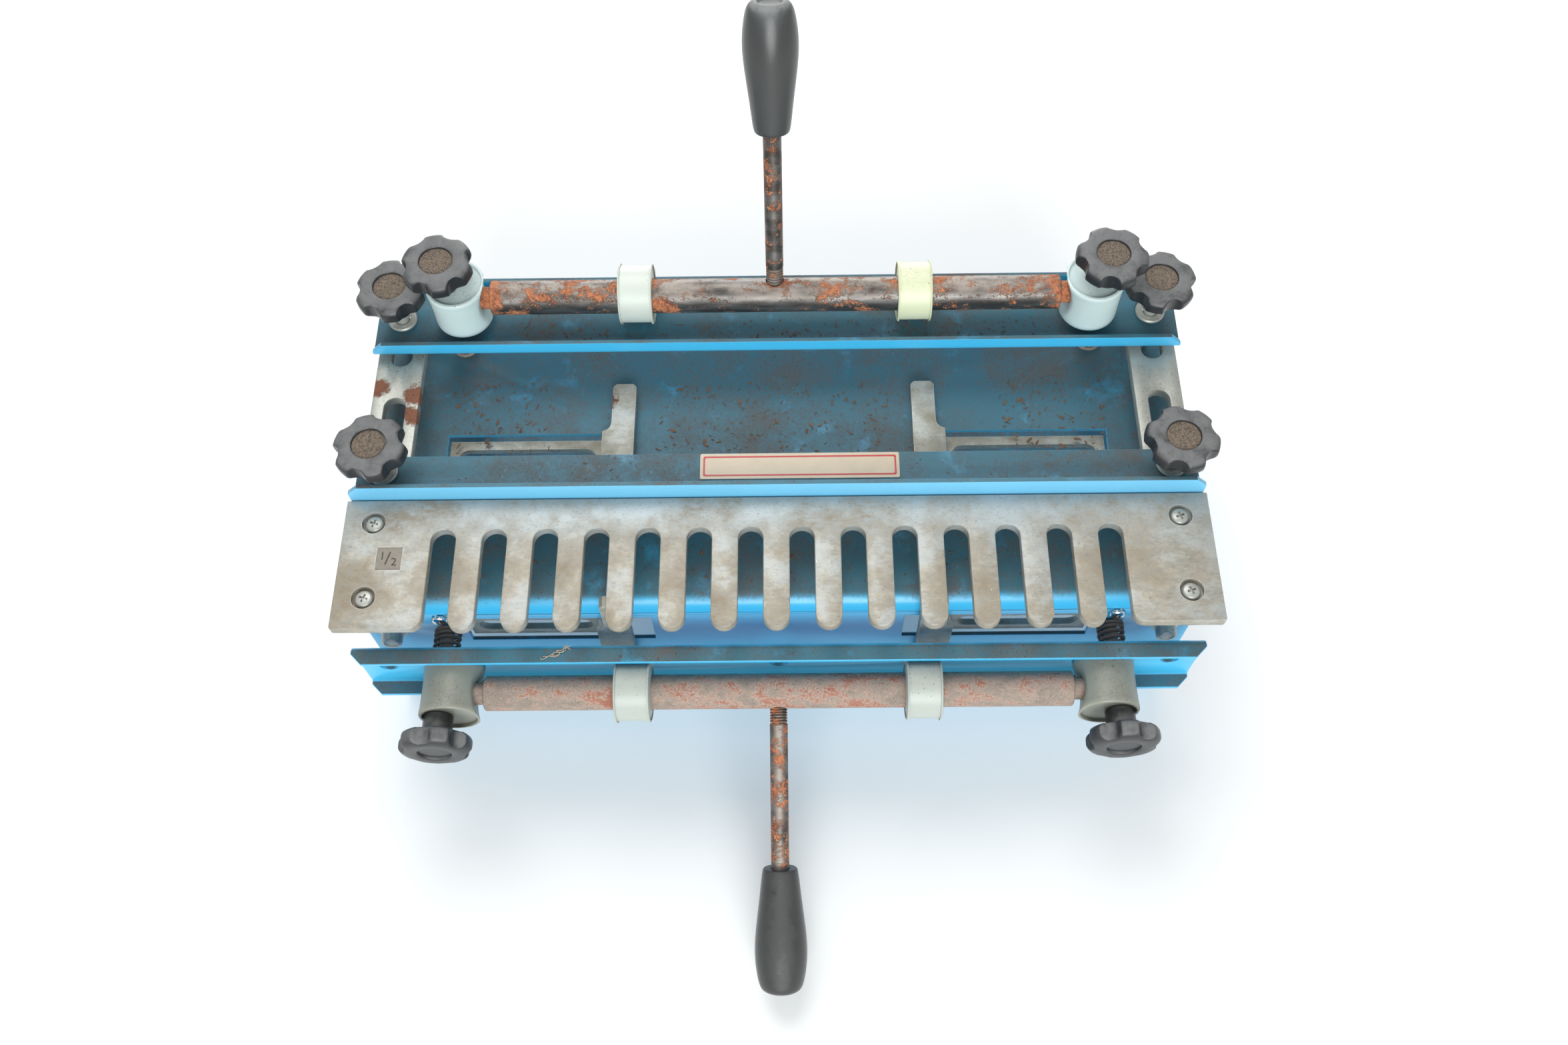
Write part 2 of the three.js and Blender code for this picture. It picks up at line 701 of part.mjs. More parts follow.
// A stop: a slotted arm that runs behind the sheet, a neck through the window, and a
// finger lying on the sheet. Drawn with the sheet's outer face at Z = 0, the window's
// middle at Y = 0, and the arm pointing along +X.
function stopBody(armReach) {
  const fingerHalf = 5.5;
  const fingerReach = 36;
  const fingerThick = 5.2;
  const corner = 1.6;
  const neckHalf = WINDOW_WIDTH / 2 - 1;
  const armTop = -SHEET - GAP;
  const armZ = armTop - STOP_ARM_THICK;
  const shape = new THREE.Shape();
  shape.moveTo(-fingerHalf, -fingerReach + corner);
  shape.lineTo(-fingerHalf + corner, -fingerReach);
  shape.lineTo(fingerHalf - corner, -fingerReach);
  shape.lineTo(fingerHalf, -fingerReach + corner);
  shape.lineTo(fingerHalf, -15);
  shape.quadraticCurveTo(fingerHalf, -11, fingerHalf + 4, -10);
  shape.lineTo(fingerHalf + 4, 10);
  shape.quadraticCurveTo(fingerHalf, 11, fingerHalf, 15);
  shape.lineTo(fingerHalf, fingerReach - corner);
  shape.lineTo(fingerHalf - corner, fingerReach);
  shape.lineTo(-fingerHalf + corner, fingerReach);
  shape.lineTo(-fingerHalf, fingerReach - corner);
  let body = plate(shape, GAP, GAP + fingerThick, 5);
  body = body.add(box(STOP_NECK_START, fingerHalf + 3, -neckHalf, neckHalf, armZ, GAP + 1));
  body = body.add(box(0, armReach, -STOP_ARM_HALF, STOP_ARM_HALF, armZ, armTop));
  const slot = new THREE.Shape();
  slot.absarc(STOP_SLOT_START + STOP_SLOT_R, 0, STOP_SLOT_R, Math.PI / 2, 1.5 * Math.PI);
  slot.absarc(armReach - 4 - STOP_SLOT_R, 0, STOP_SLOT_R, -Math.PI / 2, Math.PI / 2);
  return body.subtract(plate(slot, armZ - 1, armTop + 1));
}

function makeStops() {
  const onTable = movedTo(0, TABLE_WINDOW_Y, TABLE_Z);
  const onFace = movedTo(0, 0, FACE_WINDOW_Z).multiply(
    new THREE.Matrix4().makeRotationX(Math.PI / 2),
  );
  for (const [name, place, windowEnd] of [
    ["table_stop", onTable, TABLE_WINDOW_END_X],
    ["face_stop", onFace, FACE_WINDOW_END_X],
  ]) {
    const right = stopBody(windowEnd - 1 - STOP_X_RIGHT);
    const left = stopBody(windowEnd - 1 - STOP_X_LEFT).mirror([1, 0, 0]);
    add(`${name}_right`, right.translate([STOP_X_RIGHT, 0, 0]), zinc, place);
    add(`${name}_left`, left.translate([-STOP_X_LEFT, 0, 0]), zinc, place);
  }
}

// Small fixings seen on the face and the table.
function makeFaceFixings() {
  const outward = new THREE.Matrix4().makeRotationX(Math.PI / 2);
  for (const [word, side] of [["left", -1], ["right", 1]]) {
    const screw = panHeadScrew(3.5, 2.2, 2.2, 6);
    const screwAt = movedTo(FACE_SCREW_X * side, -GAP, FACE_SCREW_Z).multiply(outward);
    add(`face_screw_${word}`, screw, chrome, screwAt);
    const nut = turned([
      [0, -6],
      [STUD_R, -6],
      [STUD_R, 0],
      [6.6, 0],
      [6.6, 1.4],
      [4.9, 2.6],
      [4.6, 7],
      [4, 7.4],
      [0, 7.4],
    ], COARSE);
    const nutAt = movedTo(OUTER_X * side, -GAP, FRONT_BAR_ROW_Z).multiply(outward);
    add(`face_nut_${word}`, nut, zinc, nutAt);
    const tableScrew = panHeadScrew(4.6, 2.4, 2.6, 5);
    add(`table_screw_${word}`, tableScrew, zinc, movedTo(OUTER_X * side, TABLE_SCREW_Y, TABLE_Z + GAP));
  }
}

makeBase();
makeClamp("rear", REAR, REAR_CUP_LIFT, REAR_LEVER_ANGLE, TABLE_Z - REAR_BAR_Z, [10, 20]);
makeClamp("front", FRONT, FRONT_CUP_LIFT, FRONT_LEVER_ANGLE, FRONT_BAR_Y, [40, 0]);
makeComb();
makeLabelBar();
makeStops();
makeFaceFixings();
for (const [word, side] of [["left", -1], ["right", 1]]) {
  makeArm(`arm_${word}`, side);
  makeTemplateScrew(`template_screw_front_${word}`, side, SCREW_ROWS_Y[0], 20 * side);
  makeTemplateScrew(`template_screw_rear_${word}`, side, SCREW_ROWS_Y[1], -25 * side);
  const x = OUTER_X * side;
  const collarTop = ARM_Z - GAP;
  const tableBelow = TABLE_Z - REAR_BAR_Z;
  makeStud(`corner_stud_${word}`, x, tableBelow, CORNER_KNOB_FOOT + STUD_INTO_KNOB, REAR,
    collarTop - REAR_BAR_Z);
  makeWasher(`corner_washer_${word}`, x, SHEET + GAP, REAR);
  makeKnob(`corner_knob_${word}`, x, CORNER_KNOB_FOOT, 25 + 20 * side, REAR);
  const mid = movedTo(0, MID_ROW_Y, 0);
  makeStud(`mid_stud_${word}`, x, TABLE_Z, MID_KNOB_FOOT + STUD_INTO_KNOB, mid, collarTop);
  makeWasher(`mid_washer_${word}`, x, LABEL_BAR_Z + SHEET + GAP, mid);
  makeKnob(`mid_knob_${word}`, x, MID_KNOB_FOOT, 15, mid);
}

export default group;
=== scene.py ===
import json
import math
import random

import bmesh
import bpy
from mathutils import Matrix, Vector, noise as value_noise


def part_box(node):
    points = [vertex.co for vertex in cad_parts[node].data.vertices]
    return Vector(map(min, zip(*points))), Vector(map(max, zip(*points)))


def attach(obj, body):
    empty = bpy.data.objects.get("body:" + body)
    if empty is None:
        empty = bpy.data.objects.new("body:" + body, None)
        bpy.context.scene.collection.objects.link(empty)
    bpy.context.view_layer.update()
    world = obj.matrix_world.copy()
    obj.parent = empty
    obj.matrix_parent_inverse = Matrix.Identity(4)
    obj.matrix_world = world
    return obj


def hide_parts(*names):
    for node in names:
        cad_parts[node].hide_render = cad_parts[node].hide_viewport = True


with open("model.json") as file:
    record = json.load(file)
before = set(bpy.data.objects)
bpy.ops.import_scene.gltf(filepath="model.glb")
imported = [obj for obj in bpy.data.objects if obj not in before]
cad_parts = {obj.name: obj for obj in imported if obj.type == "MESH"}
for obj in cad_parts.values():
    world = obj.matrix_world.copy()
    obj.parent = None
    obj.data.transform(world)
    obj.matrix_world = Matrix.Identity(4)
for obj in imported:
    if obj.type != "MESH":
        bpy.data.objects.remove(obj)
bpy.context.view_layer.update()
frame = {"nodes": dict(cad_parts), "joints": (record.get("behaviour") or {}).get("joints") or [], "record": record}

MM = 0.001
SIDES = ("left", "right")
CLAMPS = ("rear", "front")
record = frame["record"]
BODY = {n: b for b, nodes in record["behaviour"]["bodies"].items() for n in nodes}
JOINT = {j["child"]: j for j in frame["joints"]}
PITCH = 22.225  # of the template's slots
FINGERS = 13
FINGER_WIDTH = 11.4
SLOT_END = 25.8  # of the template's slots, behind the front face
SIZE_MARK = (-167, 12)  # its middle, from the jig's middle and behind the front face
SIZE_MARK_SIDE = 11.0
SIZE_MARK_DEPTH = 0.5
SCREW_ROWS = ("front", "rear")
SHEET = 2.0  # thickness of the folded steel
STUD_BORE = 3.5  # radius of the holes the studs pass through
ALONG_X = Matrix.Rotation(math.pi / 2, 4, "Y")  # lays a piece drawn along +Z along +X


# ---------------------------------------------------------------- reading the frame, in mm

def low_high(node):
    """The two opposite corners of a CAD node's box."""
    low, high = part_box(node)
    return low / MM, high / MM


def span(node, origin, direction):
    """Nearest and farthest reach of a CAD node along a direction from a point."""
    reaches = [(v.co / MM - origin).dot(direction) for v in frame["nodes"][node].data.vertices]
    return min(reaches), max(reaches)


def middle(node):
    """Mean of a CAD node's corners, which lies on the axis of a turned piece."""
    corners = [v.co / MM for v in frame["nodes"][node].data.vertices]
    return sum(corners, Vector()) / len(corners)


def axis_of(body):
    """A point on a body's joint axis, and the axis."""
    joint = JOINT[body]
    return Vector(joint["pos_m"]) / MM, Vector(joint["axis"])


FRONT_FACE_Y = low_high("base")[0].y


# ---------------------------------------------------------------- mesh making, in mm

def circle(radius, height, sides):
    """A ring of points; radius is a number or a function of the angle."""
    ring = []
    for i in range(sides):
        angle = 2 * math.pi * i / sides
        r = radius(angle) if callable(radius) else radius
        ring.append(Vector((r * math.cos(angle), r * math.sin(angle), height)))
    return ring


def skin(bm, rows, loop=False, material=0):
    """Joins rings of points into a surface; a ring of one point closes it."""
    made = [[bm.verts.new(p) for p in row] for row in rows]
    pairs = list(zip(made, made[1:]))
    if loop:
        pairs.append((made[-1], made[0]))
    for a, b in pairs:
        count = max(len(a), len(b))
        for i in range(count):
            j = (i + 1) % count
            corners = [a[i % len(a)], a[j % len(a)], b[j % len(b)], b[i % len(b)]]
            corners = list(dict.fromkeys(corners))
            if len(corners) > 2:
                bm.faces.new(corners).material_index = material
    return made


def turned(bm, pairs, sides, loop=False, material=0):
    """Adds a surface turned about Z from (radius, height) pairs; radius 0 closes an end."""
    rows = [circle(r, h, sides) if r else [Vector((0, 0, h))] for r, h in pairs]
    return skin(bm, rows, loop, material)


def lathe(pairs, sides, loop=False):
    """A body turned about Z."""
    bm = bmesh.new()
    turned(bm, pairs, sides, loop)
    return bm


def drill(radius, z0, z1, sides):
    """A cutter for a round hole along Z."""
    return lathe([(0, z0), (radius, z0), (radius, z1), (0, z1)], sides)


def smooth(points, steps=6):
    """A smooth curve through (radius, height) points."""
    out = []
    last = len(points) - 1
    for i in range(last):
        p = [points[max(0, min(last, i + k))] for k in (-1, 0, 1, 2)]
        for s in range(steps):
            t = s / steps
            out.append(tuple(
                0.5 * (2 * p[1][c] + (p[2][c] - p[0][c]) * t
                       + (2 * p[0][c] - 5 * p[1][c] + 4 * p[2][c] - p[3][c]) * t * t
                       + (3 * p[1][c] - p[0][c] - 3 * p[2][c] + p[3][c]) * t ** 3)
                for c in (0, 1)))
    return out + [points[-1]]


def softer_of(a, b, blend):
    """The smaller of two lengths, with the corner between them rounded."""
    share = max(0.0, blend - abs(a - b)) / blend
    return min(a, b) - share * share * blend / 4


def tube(path, radius, around):
    """A closed round wire along a path of points."""
    rows = []
    side = Vector((0, 0, 1))
    for i, here in enumerate(path):
        ahead = (path[min(i + 1, len(path) - 1)] - path[max(i - 1, 0)]).normalized()
        side = (side - ahead * side.dot(ahead)).normalized()
        other = ahead.cross(side)
        rows.append([here + radius * (side * math.cos(a) + other * math.sin(a))
                     for a in (2 * math.pi * k / around for k in range(around))])
    bm = bmesh.new()
    skin(bm, [[path[0]], *rows, [path[-1]]])
    return bm


def arc(x, y, r, start, end, steps=18):
    """Points on an arc, in degrees."""
    angles = [math.radians(start + (end - start) * k / steps) for k in range(steps + 1)]
    return [(x + r * math.cos(a), y + r * math.sin(a)) for a in angles]


def placed(name, data):
    """A new object in the scene."""
    obj = bpy.data.objects.new(name, data)
    bpy.context.scene.collection.objects.link(obj)
    return obj


def solid_of(curve, weld):
    """The mesh of a filled curve; corners closer than weld are joined."""
    holder = placed(curve.name, curve)
    bpy.context.view_layer.update()
    evaluated = holder.evaluated_get(bpy.context.evaluated_depsgraph_get())
    mesh = bpy.data.meshes.new_from_object(evaluated)
    bm = bmesh.new()
    bm.from_mesh(mesh)
    bpy.data.objects.remove(holder)
    bpy.data.curves.remove(curve)
    bpy.data.meshes.remove(mesh)
    bmesh.ops.remove_doubles(bm, verts=bm.verts, dist=weld)
    return bm


def rounded_box(low, high, corner, inset=0.0):
    """The outline of a box seen from above, with rounded corners."""
    points = []
    for x, y, right, back, start in ((low.x, low.y, 1, 1, 180), (high.x, low.y, -1, 1, 270),
                                     (high.x, high.y, -1, -1, 0), (low.x, high.y, 1, -1, 90)):
        reach = inset + corner
        points += arc(x + right * reach, y + back * reach, corner, start, start + 90, 5)
    return points


def flat(outlines, z0, z1, round_edge):
    """A plate from closed outlines, the inner ones being holes, with rounded edges."""
    curve = bpy.data.curves.new("outline", "CURVE")
    curve.dimensions = "2D"
    curve.fill_mode = "BOTH"
    curve.extrude = (z1 - z0) / 2 - round_edge
    curve.bevel_depth = round_edge
    curve.bevel_resolution = 2
    curve.offset = -round_edge
    for outline in outlines:
        spline = curve.splines.new("POLY")
        spline.points.add(len(outline) - 1)
        for point, (x, y) in zip(spline.points, outline):
            point.co = (x, y, 0, 1)
        spline.use_cyclic_u = True
    bm = solid_of(curve, 0.002)
    bmesh.ops.translate(bm, vec=(0, 0, (z0 + z1) / 2), verts=bm.verts)
    return bm


def block(size, at, turn=0.0):
    """A box turned about Z by some degrees."""
    bm = bmesh.new()
    bmesh.ops.create_cube(bm, size=1)
    place = Matrix.Translation(at) @ Matrix.Rotation(math.radians(turn), 4, "Z")
    bmesh.ops.transform(bm, matrix=place @ Matrix.Diagonal((*size, 1)), verts=bm.verts)
    return bm


def moved(bm, at, turn=Matrix.Identity(4)):
    """Turns a body about the origin, then moves it."""
    bmesh.ops.transform(bm, matrix=Matrix.Translation(at) @ turn, verts=bm.verts)
    return bm


def stood(bm, at, axis):
    """Moves a body drawn along +Z to a point, standing up or, for other axes, along -Y."""
    turn = Matrix.Identity(4) if axis.z > 0.5 else Matrix.Rotation(math.pi / 2, 4, "X")
    return moved(bm, at, turn)


def carve(bm, cutters):
    """Cuts each cutter out of a body."""
    def holder(mesh_source, name):
        bmesh.ops.recalc_face_normals(mesh_source, faces=mesh_source.faces)
        mesh = bpy.data.meshes.new(name)
        mesh_source.to_mesh(mesh)
        mesh_source.free()
        return placed(name, mesh)

    body = holder(bm, "carved")
    tools = [holder(c, "cutter") for c in cutters]
    for tool in tools:
        modifier = body.modifiers.new("cut", "BOOLEAN")
        modifier.object = tool
        modifier.solver = "EXACT"
    bpy.context.view_layer.update()
    result = bmesh.new()
    evaluated = body.evaluated_get(bpy.context.evaluated_depsgraph_get())
    result.from_mesh(evaluated.to_mesh())
    for obj in (body, *tools):
        mesh = obj.data
        bpy.data.objects.remove(obj)
        bpy.data.meshes.remove(mesh)
    return result


def bevelled(bm, width, sharp=40):
    """Rounds the edges of a body that turn by more than sharp degrees."""
    edges = [e for e in bm.edges
             if len(e.link_faces) == 2 and e.calc_face_angle(0) > math.radians(sharp)]
    bmesh.ops.bevel(bm, geom=edges, offset=width, segments=2, profile=0.6,
                    affect="EDGES", clamp_overlap=True)
    return bm


def show(name, bm, looks, body, smooth_angle=38):
    """Makes a shown piece, riding on a body, from a mesh in mm."""
    bmesh.ops.recalc_face_normals(bm, faces=bm.faces)
    bmesh.ops.scale(bm, vec=(MM, MM, MM), verts=bm.verts)
    mesh = bpy.data.meshes.new(name)
    bm.to_mesh(mesh)
    bm.free()
    for look in looks:
        mesh.materials.append(look)
    for polygon in mesh.polygons:
        polygon.use_smooth = True
    mesh.set_sharp_from_angle(angle=math.radians(smooth_angle))
    obj = placed(name, mesh)
    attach(obj, body)
    return obj


def stand_in(node, bm, *looks, smooth_angle=38):
    """Shows a finer mesh in a CAD node's place."""
    obj = show(node + "_look", bm, looks, BODY[node], smooth_angle)
    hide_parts(node)


def refined(node, edge, look):
    """Shows a CAD node's own shape with its sharp edges rounded."""
    bm = bmesh.new()
    bm.from_mesh(frame["nodes"][node].data)
    bmesh.ops.scale(bm, vec=(1 / MM,) * 3, verts=bm.verts)
    bmesh.ops.remove_doubles(bm, verts=bm.verts, dist=0.004)
    bmesh.ops.dissolve_limit(bm, angle_limit=math.radians(1), verts=bm.verts, edges=bm.edges)
    stand_in(node, bevelled(bm, edge), look)


# ---------------------------------------------------------------- materials

class Shader:
    """A material being built; lengths are in mm and every texture follows the piece."""

    def __init__(self, name):
        self.material = bpy.data.materials.new(name)
        self.material.use_nodes = True
        self.tree = self.material.node_tree
        self.surface = self.tree.nodes["Principled BSDF"]
        coordinates = self.new("TexCoord").outputs["Object"]
        self.place = self.vector("MULTIPLY", coordinates, (1 / MM,) * 3)
        self.normal = self.new("NewGeometry").outputs["Normal"]

    def new(self, kind, operation=None):
        node = self.tree.nodes.new("ShaderNode" + kind)
        if operation:
            node.operation = operation
        return node

    def join(self, socket, value):
        """Gives a socket a number, a colour or another node's output."""
        if isinstance(value, bpy.types.NodeSocket):
            self.tree.links.new(value, socket)
        else:
            socket.default_value = value

    def fed(self, node, *values):
        """Joins values to a node's first inputs and returns its first output."""
        for socket, value in zip(node.inputs, values):
            self.join(socket, value)
        return node.outputs[0]

    def vector(self, operation, a, b):
        return self.fed(self.new("VectorMath", operation), a, b)

    def maths(self, operation, a, b=0.0):
        return self.fed(self.new("Math", operation), a, b)

    def times(self, a, b):
        return self.maths("MULTIPLY", a, b)

    def part(self, vector, axis):
        node = self.new("SeparateXYZ")
        self.join(node.inputs[0], vector)
        return node.outputs[axis]

    def noise(self, size, detail=4.0, rough=0.55, stretch=(1, 1, 1), seed=0.0):
        """Noise from 0 to 1 whose blobs are about size mm across."""
        node = self.new("TexNoise")
        node.noise_dimensions = "4D"
        self.join(node.inputs["Vector"], self.vector("MULTIPLY", self.place, stretch))
        node.inputs["W"].default_value = seed
        node.inputs["Scale"].default_value = 1 / size
        node.inputs["Detail"].default_value = detail
        node.inputs["Roughness"].default_value = rough
        return node.outputs["Fac"]

    def step(self, value, low, high):
        """Rises smoothly from 0 at low to 1 at high."""
        node = self.new("MapRange")
        node.interpolation_type = "SMOOTHSTEP"
        self.join(node.inputs["Value"], value)
        node.inputs["From Min"].default_value = low
        node.inputs["From Max"].default_value = high
        return node.outputs["Result"]

    def mix(self, share, a, b):
        node = self.new("Mix")
        node.data_type = "RGBA"
        self.join(node.inputs[0], share)
        for socket, value in ((node.inputs[6], a), (node.inputs[7], b)):
            self.join(socket, (*value, 1) if isinstance(value, tuple) else value)
        return node.outputs[2]

    def blend(self, share, a, b):
        """Between two numbers."""
        node = self.new("Mix")
        self.join(node.inputs[0], share)
        self.join(node.inputs[2], a)
        self.join(node.inputs[3], b)
        return node.outputs[0]

    def near(self, point, reach, seed=0.0):
        """1 within a ragged distance of a point in mm, 0 well outside it."""
        node = self.new("VectorMath", "DISTANCE")
        self.fed(node, self.place, point)
        centred = self.maths("SUBTRACT", self.noise(4, 6, 0.7, seed=seed), 0.5)
        ragged = self.times(centred, 2.2)
        reached = self.maths("DIVIDE", node.outputs["Value"], reach)
        distance = self.maths("SUBTRACT", reached, ragged)
        return self.maths("SUBTRACT", 1.0, self.step(distance, 0.75, 1.1))

    def facing_up(self, low=0.6, high=0.95):
        return self.step(self.part(self.normal, "Z"), low, high)

    def worn_edges(self, radius=0.7):
        """1 along convex edges, 0 elsewhere."""
        node = self.new("Bevel")
        node.samples = 4
        node.inputs["Radius"].default_value = radius * MM
        rounded = self.new("VectorMath", "DOT_PRODUCT")
        self.fed(rounded, node.outputs[0], self.normal)
        return self.step(self.maths("SUBTRACT", 1.0, rounded.outputs["Value"]), 0.02, 0.15)

    def bump(self, height, depth, strength=1.0):
        node = self.new("Bump")
        node.inputs["Strength"].default_value = strength
        node.inputs["Distance"].default_value = depth * MM
        self.join(node.inputs["Height"], height)
        self.join(self.surface.inputs["Normal"], node.outputs[0])

    def done(self, colour, roughness, metallic=0.0):
        self.join(self.surface.inputs["Base Color"], colour)
        self.join(self.surface.inputs["Roughness"], roughness)
        self.join(self.surface.inputs["Metallic"], metallic)
        return self.material


DUST = (0.125, 0.088, 0.062)
DARK_DUST = (0.035, 0.022, 0.016)
PALE_DUST = (0.30, 0.23, 0.17)


def scaled(colour, factor):
    return tuple(min(1.0, c * factor) for c in colour)


def dusted(s, colour, amount, seed):
    """Brown workshop dust where it faces up: broad drifts, grains, and dark and pale specks."""
    drifts = s.noise(38, 7, 0.7, seed=seed)
    grains = s.noise(1.1, 3, 0.65, seed=seed + 3)
    heaped = s.maths("ADD", s.times(drifts, 0.66), s.times(grains, 0.34))
    cover = s.times(s.step(heaped, 0.43, 0.64), amount)
    broken = s.step(drifts, 0.3, 0.62)
    dark = s.times(s.step(s.noise(0.8, 2, seed=seed + 7), 0.64, 0.70), broken)
    pale = s.times(s.step(s.noise(0.9, 2, seed=seed + 11), 0.70, 0.75), broken)
    up = s.facing_up()
    cover, dark, pale = (s.times(share, up) for share in (cover, dark, pale))
    colour = s.mix(cover, colour, DUST)
    return s.mix(pale, s.mix(dark, colour, DARK_DUST), PALE_DUST), cover


def blue_paint(name, haze_and_sheen, seed):
    """Bright blue on upright faces and bends, darkened where it faces up by grime and painted shade."""
    s = Shader(name)
    paint = s.mix(s.noise(45, 3, seed=seed), (0.045, 0.40, 0.68), (0.060, 0.46, 0.75))
    # haze_and_sheen whitens the paint: a paler tint and a painted reflection of the bright light in front.
    paint = s.mix(haze_and_sheen, paint, (0.42, 0.66, 0.80))
    # Upward faces are darkened to a deep blue: partly a film of grime, partly painted shade of faces lit less than
    # the upright ones; clean patches are darkened less.
    clean = s.step(s.noise(16, 5, 0.6, seed=seed + 20), 0.56, 0.74)
    dirt_and_shade = s.maths("SUBTRACT", 0.95, s.times(clean, 0.45))
    darkening = s.times(s.facing_up(0.80, 0.985), dirt_and_shade)
    paint = s.mix(darkening, paint, (0.038, 0.128, 0.168))
    colour, cover = dusted(s, paint, 0.75, seed=seed)
    bare = s.step(s.noise(3, 5, 0.7, seed=seed + 9), 0.60, 0.66)
    chipped = s.times(s.worn_edges(), bare)
    colour = s.mix(chipped, colour, (0.20, 0.13, 0.09))
    grain = s.noise(0.55, 2)
    s.bump(s.maths("ADD", grain, s.times(cover, 1.6)), 0.06, 0.55)
    return s.done(colour, s.blend(cover, s.blend(darkening, 0.28, 0.58), 0.95))


def cast_zinc(name, base, stain, seed, rust_at=None, sky_reflection_band=None):
    """Die-cast zinc: grainy mottling, brown stains, scratches, painted glints, a painted sky reflection in a band
    when one is given, and bright worn edges.
    """
    s = Shader(name)
    mottle = s.noise(2.6, 7, 0.78, stretch=(0.45, 1, 1), seed=seed)
    fine = s.noise(0.8, 4, 0.7, stretch=(0.6, 1, 1), seed=seed + 1)
    metal = s.mix(s.step(mottle, 0.36, 0.66), scaled(base, 0.74), scaled(base, 1.12))
    broad = s.noise(24, 6, 0.65, seed=seed + 2)
    cool = s.times(s.step(broad, 0.50, 0.36), 0.6)
    metal = s.mix(cool, metal, (0.40, 0.43, 0.43))
    if sky_reflection_band:
        # A cooler, bluer band towards the back: a painted reflection of the sky.
        painted_sky_reflection = s.times(s.step(s.part(s.place, "Y"), *sky_reflection_band), 0.6)
        metal = s.mix(painted_sky_reflection, metal, (0.36, 0.43, 0.46))
    stains = s.times(s.step(broad, 0.42, 0.66), s.step(mottle, 0.34, 0.60))
    stains = s.times(stains, s.facing_up(0.2, 0.8))
    metal = s.mix(s.times(stains, 0.75), metal, stain)
    metal = s.mix(s.times(s.step(fine, 0.54, 0.70), 0.6), metal, scaled(base, 0.45))
    # Small bright specks: painted glints of light.
    painted_glints = s.step(s.noise(1.6, 4, 0.7, stretch=(1, 0.5, 1), seed=seed + 3), 0.68, 0.74)
    metal = s.mix(s.times(painted_glints, 0.7), metal, (0.74, 0.74, 0.72))
    metal = s.mix(s.times(s.worn_edges(), 0.55), metal, (0.72, 0.71, 0.67))
    rough = s.blend(stains, 0.45, 0.75)
    if rust_at:
        rust = s.near(*rust_at)
        metal = s.mix(rust, metal, (0.15, 0.06, 0.035))
        rough = s.maths("MAXIMUM", rough, rust)
    s.bump(s.maths("ADD", fine, mottle), 0.08, 0.65)
    return s.done(metal, rough, 0.25)


def rusted(name, cover, scab, seed, ends=()):
    """Dark steel with scabs of rust; cover is the share of it rusted, scab their size."""
    s = Shader(name)
    scabs = s.noise(scab, 8, 0.72, stretch=(0.6, 1, 1), seed=seed)
    grit = s.noise(0.7, 4, 0.7, seed=seed + 1)
    rough_scabs = s.maths("ADD", scabs, s.times(s.maths("SUBTRACT", grit, 0.5), 0.35))
    edge = 0.5 + (0.5 - cover) * 0.4
    amount = s.step(rough_scabs, edge - 0.02, edge + 0.05)
    for point, reach in ends:
        amount = s.maths("MAXIMUM", amount, s.near(point, reach, seed + 9))
    tone = s.noise(2.6, 6, 0.7, seed=seed + 2)
    rust = s.mix(s.step(tone, 0.36, 0.60), (0.17, 0.045, 0.022), (0.46, 0.16, 0.065))
    rust = s.mix(s.times(s.step(grit, 0.50, 0.66), 0.6), rust, (0.56, 0.33, 0.20))
    steel = s.mix(s.step(s.noise(5, 5, stretch=(0.2, 1, 1), seed=seed + 4), 0.4, 0.65),
                  (0.075, 0.068, 0.062), (0.17, 0.16, 0.15))
    # Pale brown haze on upward faces: dust, and a painted sheen of the light above.
    dust_and_sheen_patches = s.step(s.noise(9, 6, 0.65, stretch=(0.5, 1, 1), seed=seed + 6), 0.34, 0.62)
    haze_and_sheen = s.times(s.facing_up(0.55, 0.98), dust_and_sheen_patches)
    steel = s.mix(s.times(haze_and_sheen, 0.8), steel, (0.40, 0.34, 0.29))
    s.bump(s.times(amount, s.maths("ADD", grit, 0.5)), 0.16, 0.9)
    return s.done(s.mix(amount, steel, rust), s.blend(amount, s.blend(haze_and_sheen, 0.40, 0.6), 0.9),
                  s.blend(amount, s.blend(haze_and_sheen, 0.75, 0.3), 0.0))


def granular_rust(name, seed, darkness=0.0):
    """Steel rusted all over: fine red-brown and tan grains on grey."""
    s = Shader(name)
    patches = s.noise(7, 7, 0.7, stretch=(0.6, 1, 1), seed=seed)
    grains = s.noise(0.9, 5, 0.75, seed=seed + 1)
    grit = s.noise(0.6, 3, 0.7, seed=seed + 2)
    base = s.mix(s.step(patches, 0.38, 0.62), (0.26, 0.21, 0.175), (0.43, 0.35, 0.29))
    heaped = s.maths("ADD", s.times(patches, 0.8), s.times(grains, 0.5))
    reds = s.times(s.step(heaped, 0.64, 0.76), 0.85)
    colour = s.mix(reds, base, (0.32, 0.095, 0.05))
    orange = s.step(s.noise(1.5, 5, 0.75, seed=seed + 3), 0.63, 0.70)
    colour = s.mix(s.times(orange, 0.75), colour, (0.56, 0.20, 0.08))
    colour = s.mix(s.times(s.step(grit, 0.58, 0.70), 0.6), colour, (0.55, 0.47, 0.40))
    colour = s.mix(s.times(s.step(grit, 0.42, 0.34), 0.7), colour, (0.07, 0.045, 0.035))
    colour = s.mix(darkness, colour, (0.09, 0.075, 0.065))
    s.bump(s.maths("ADD", grains, grit), 0.22, 0.9)
    return s.done(colour, 0.82, 0.1)


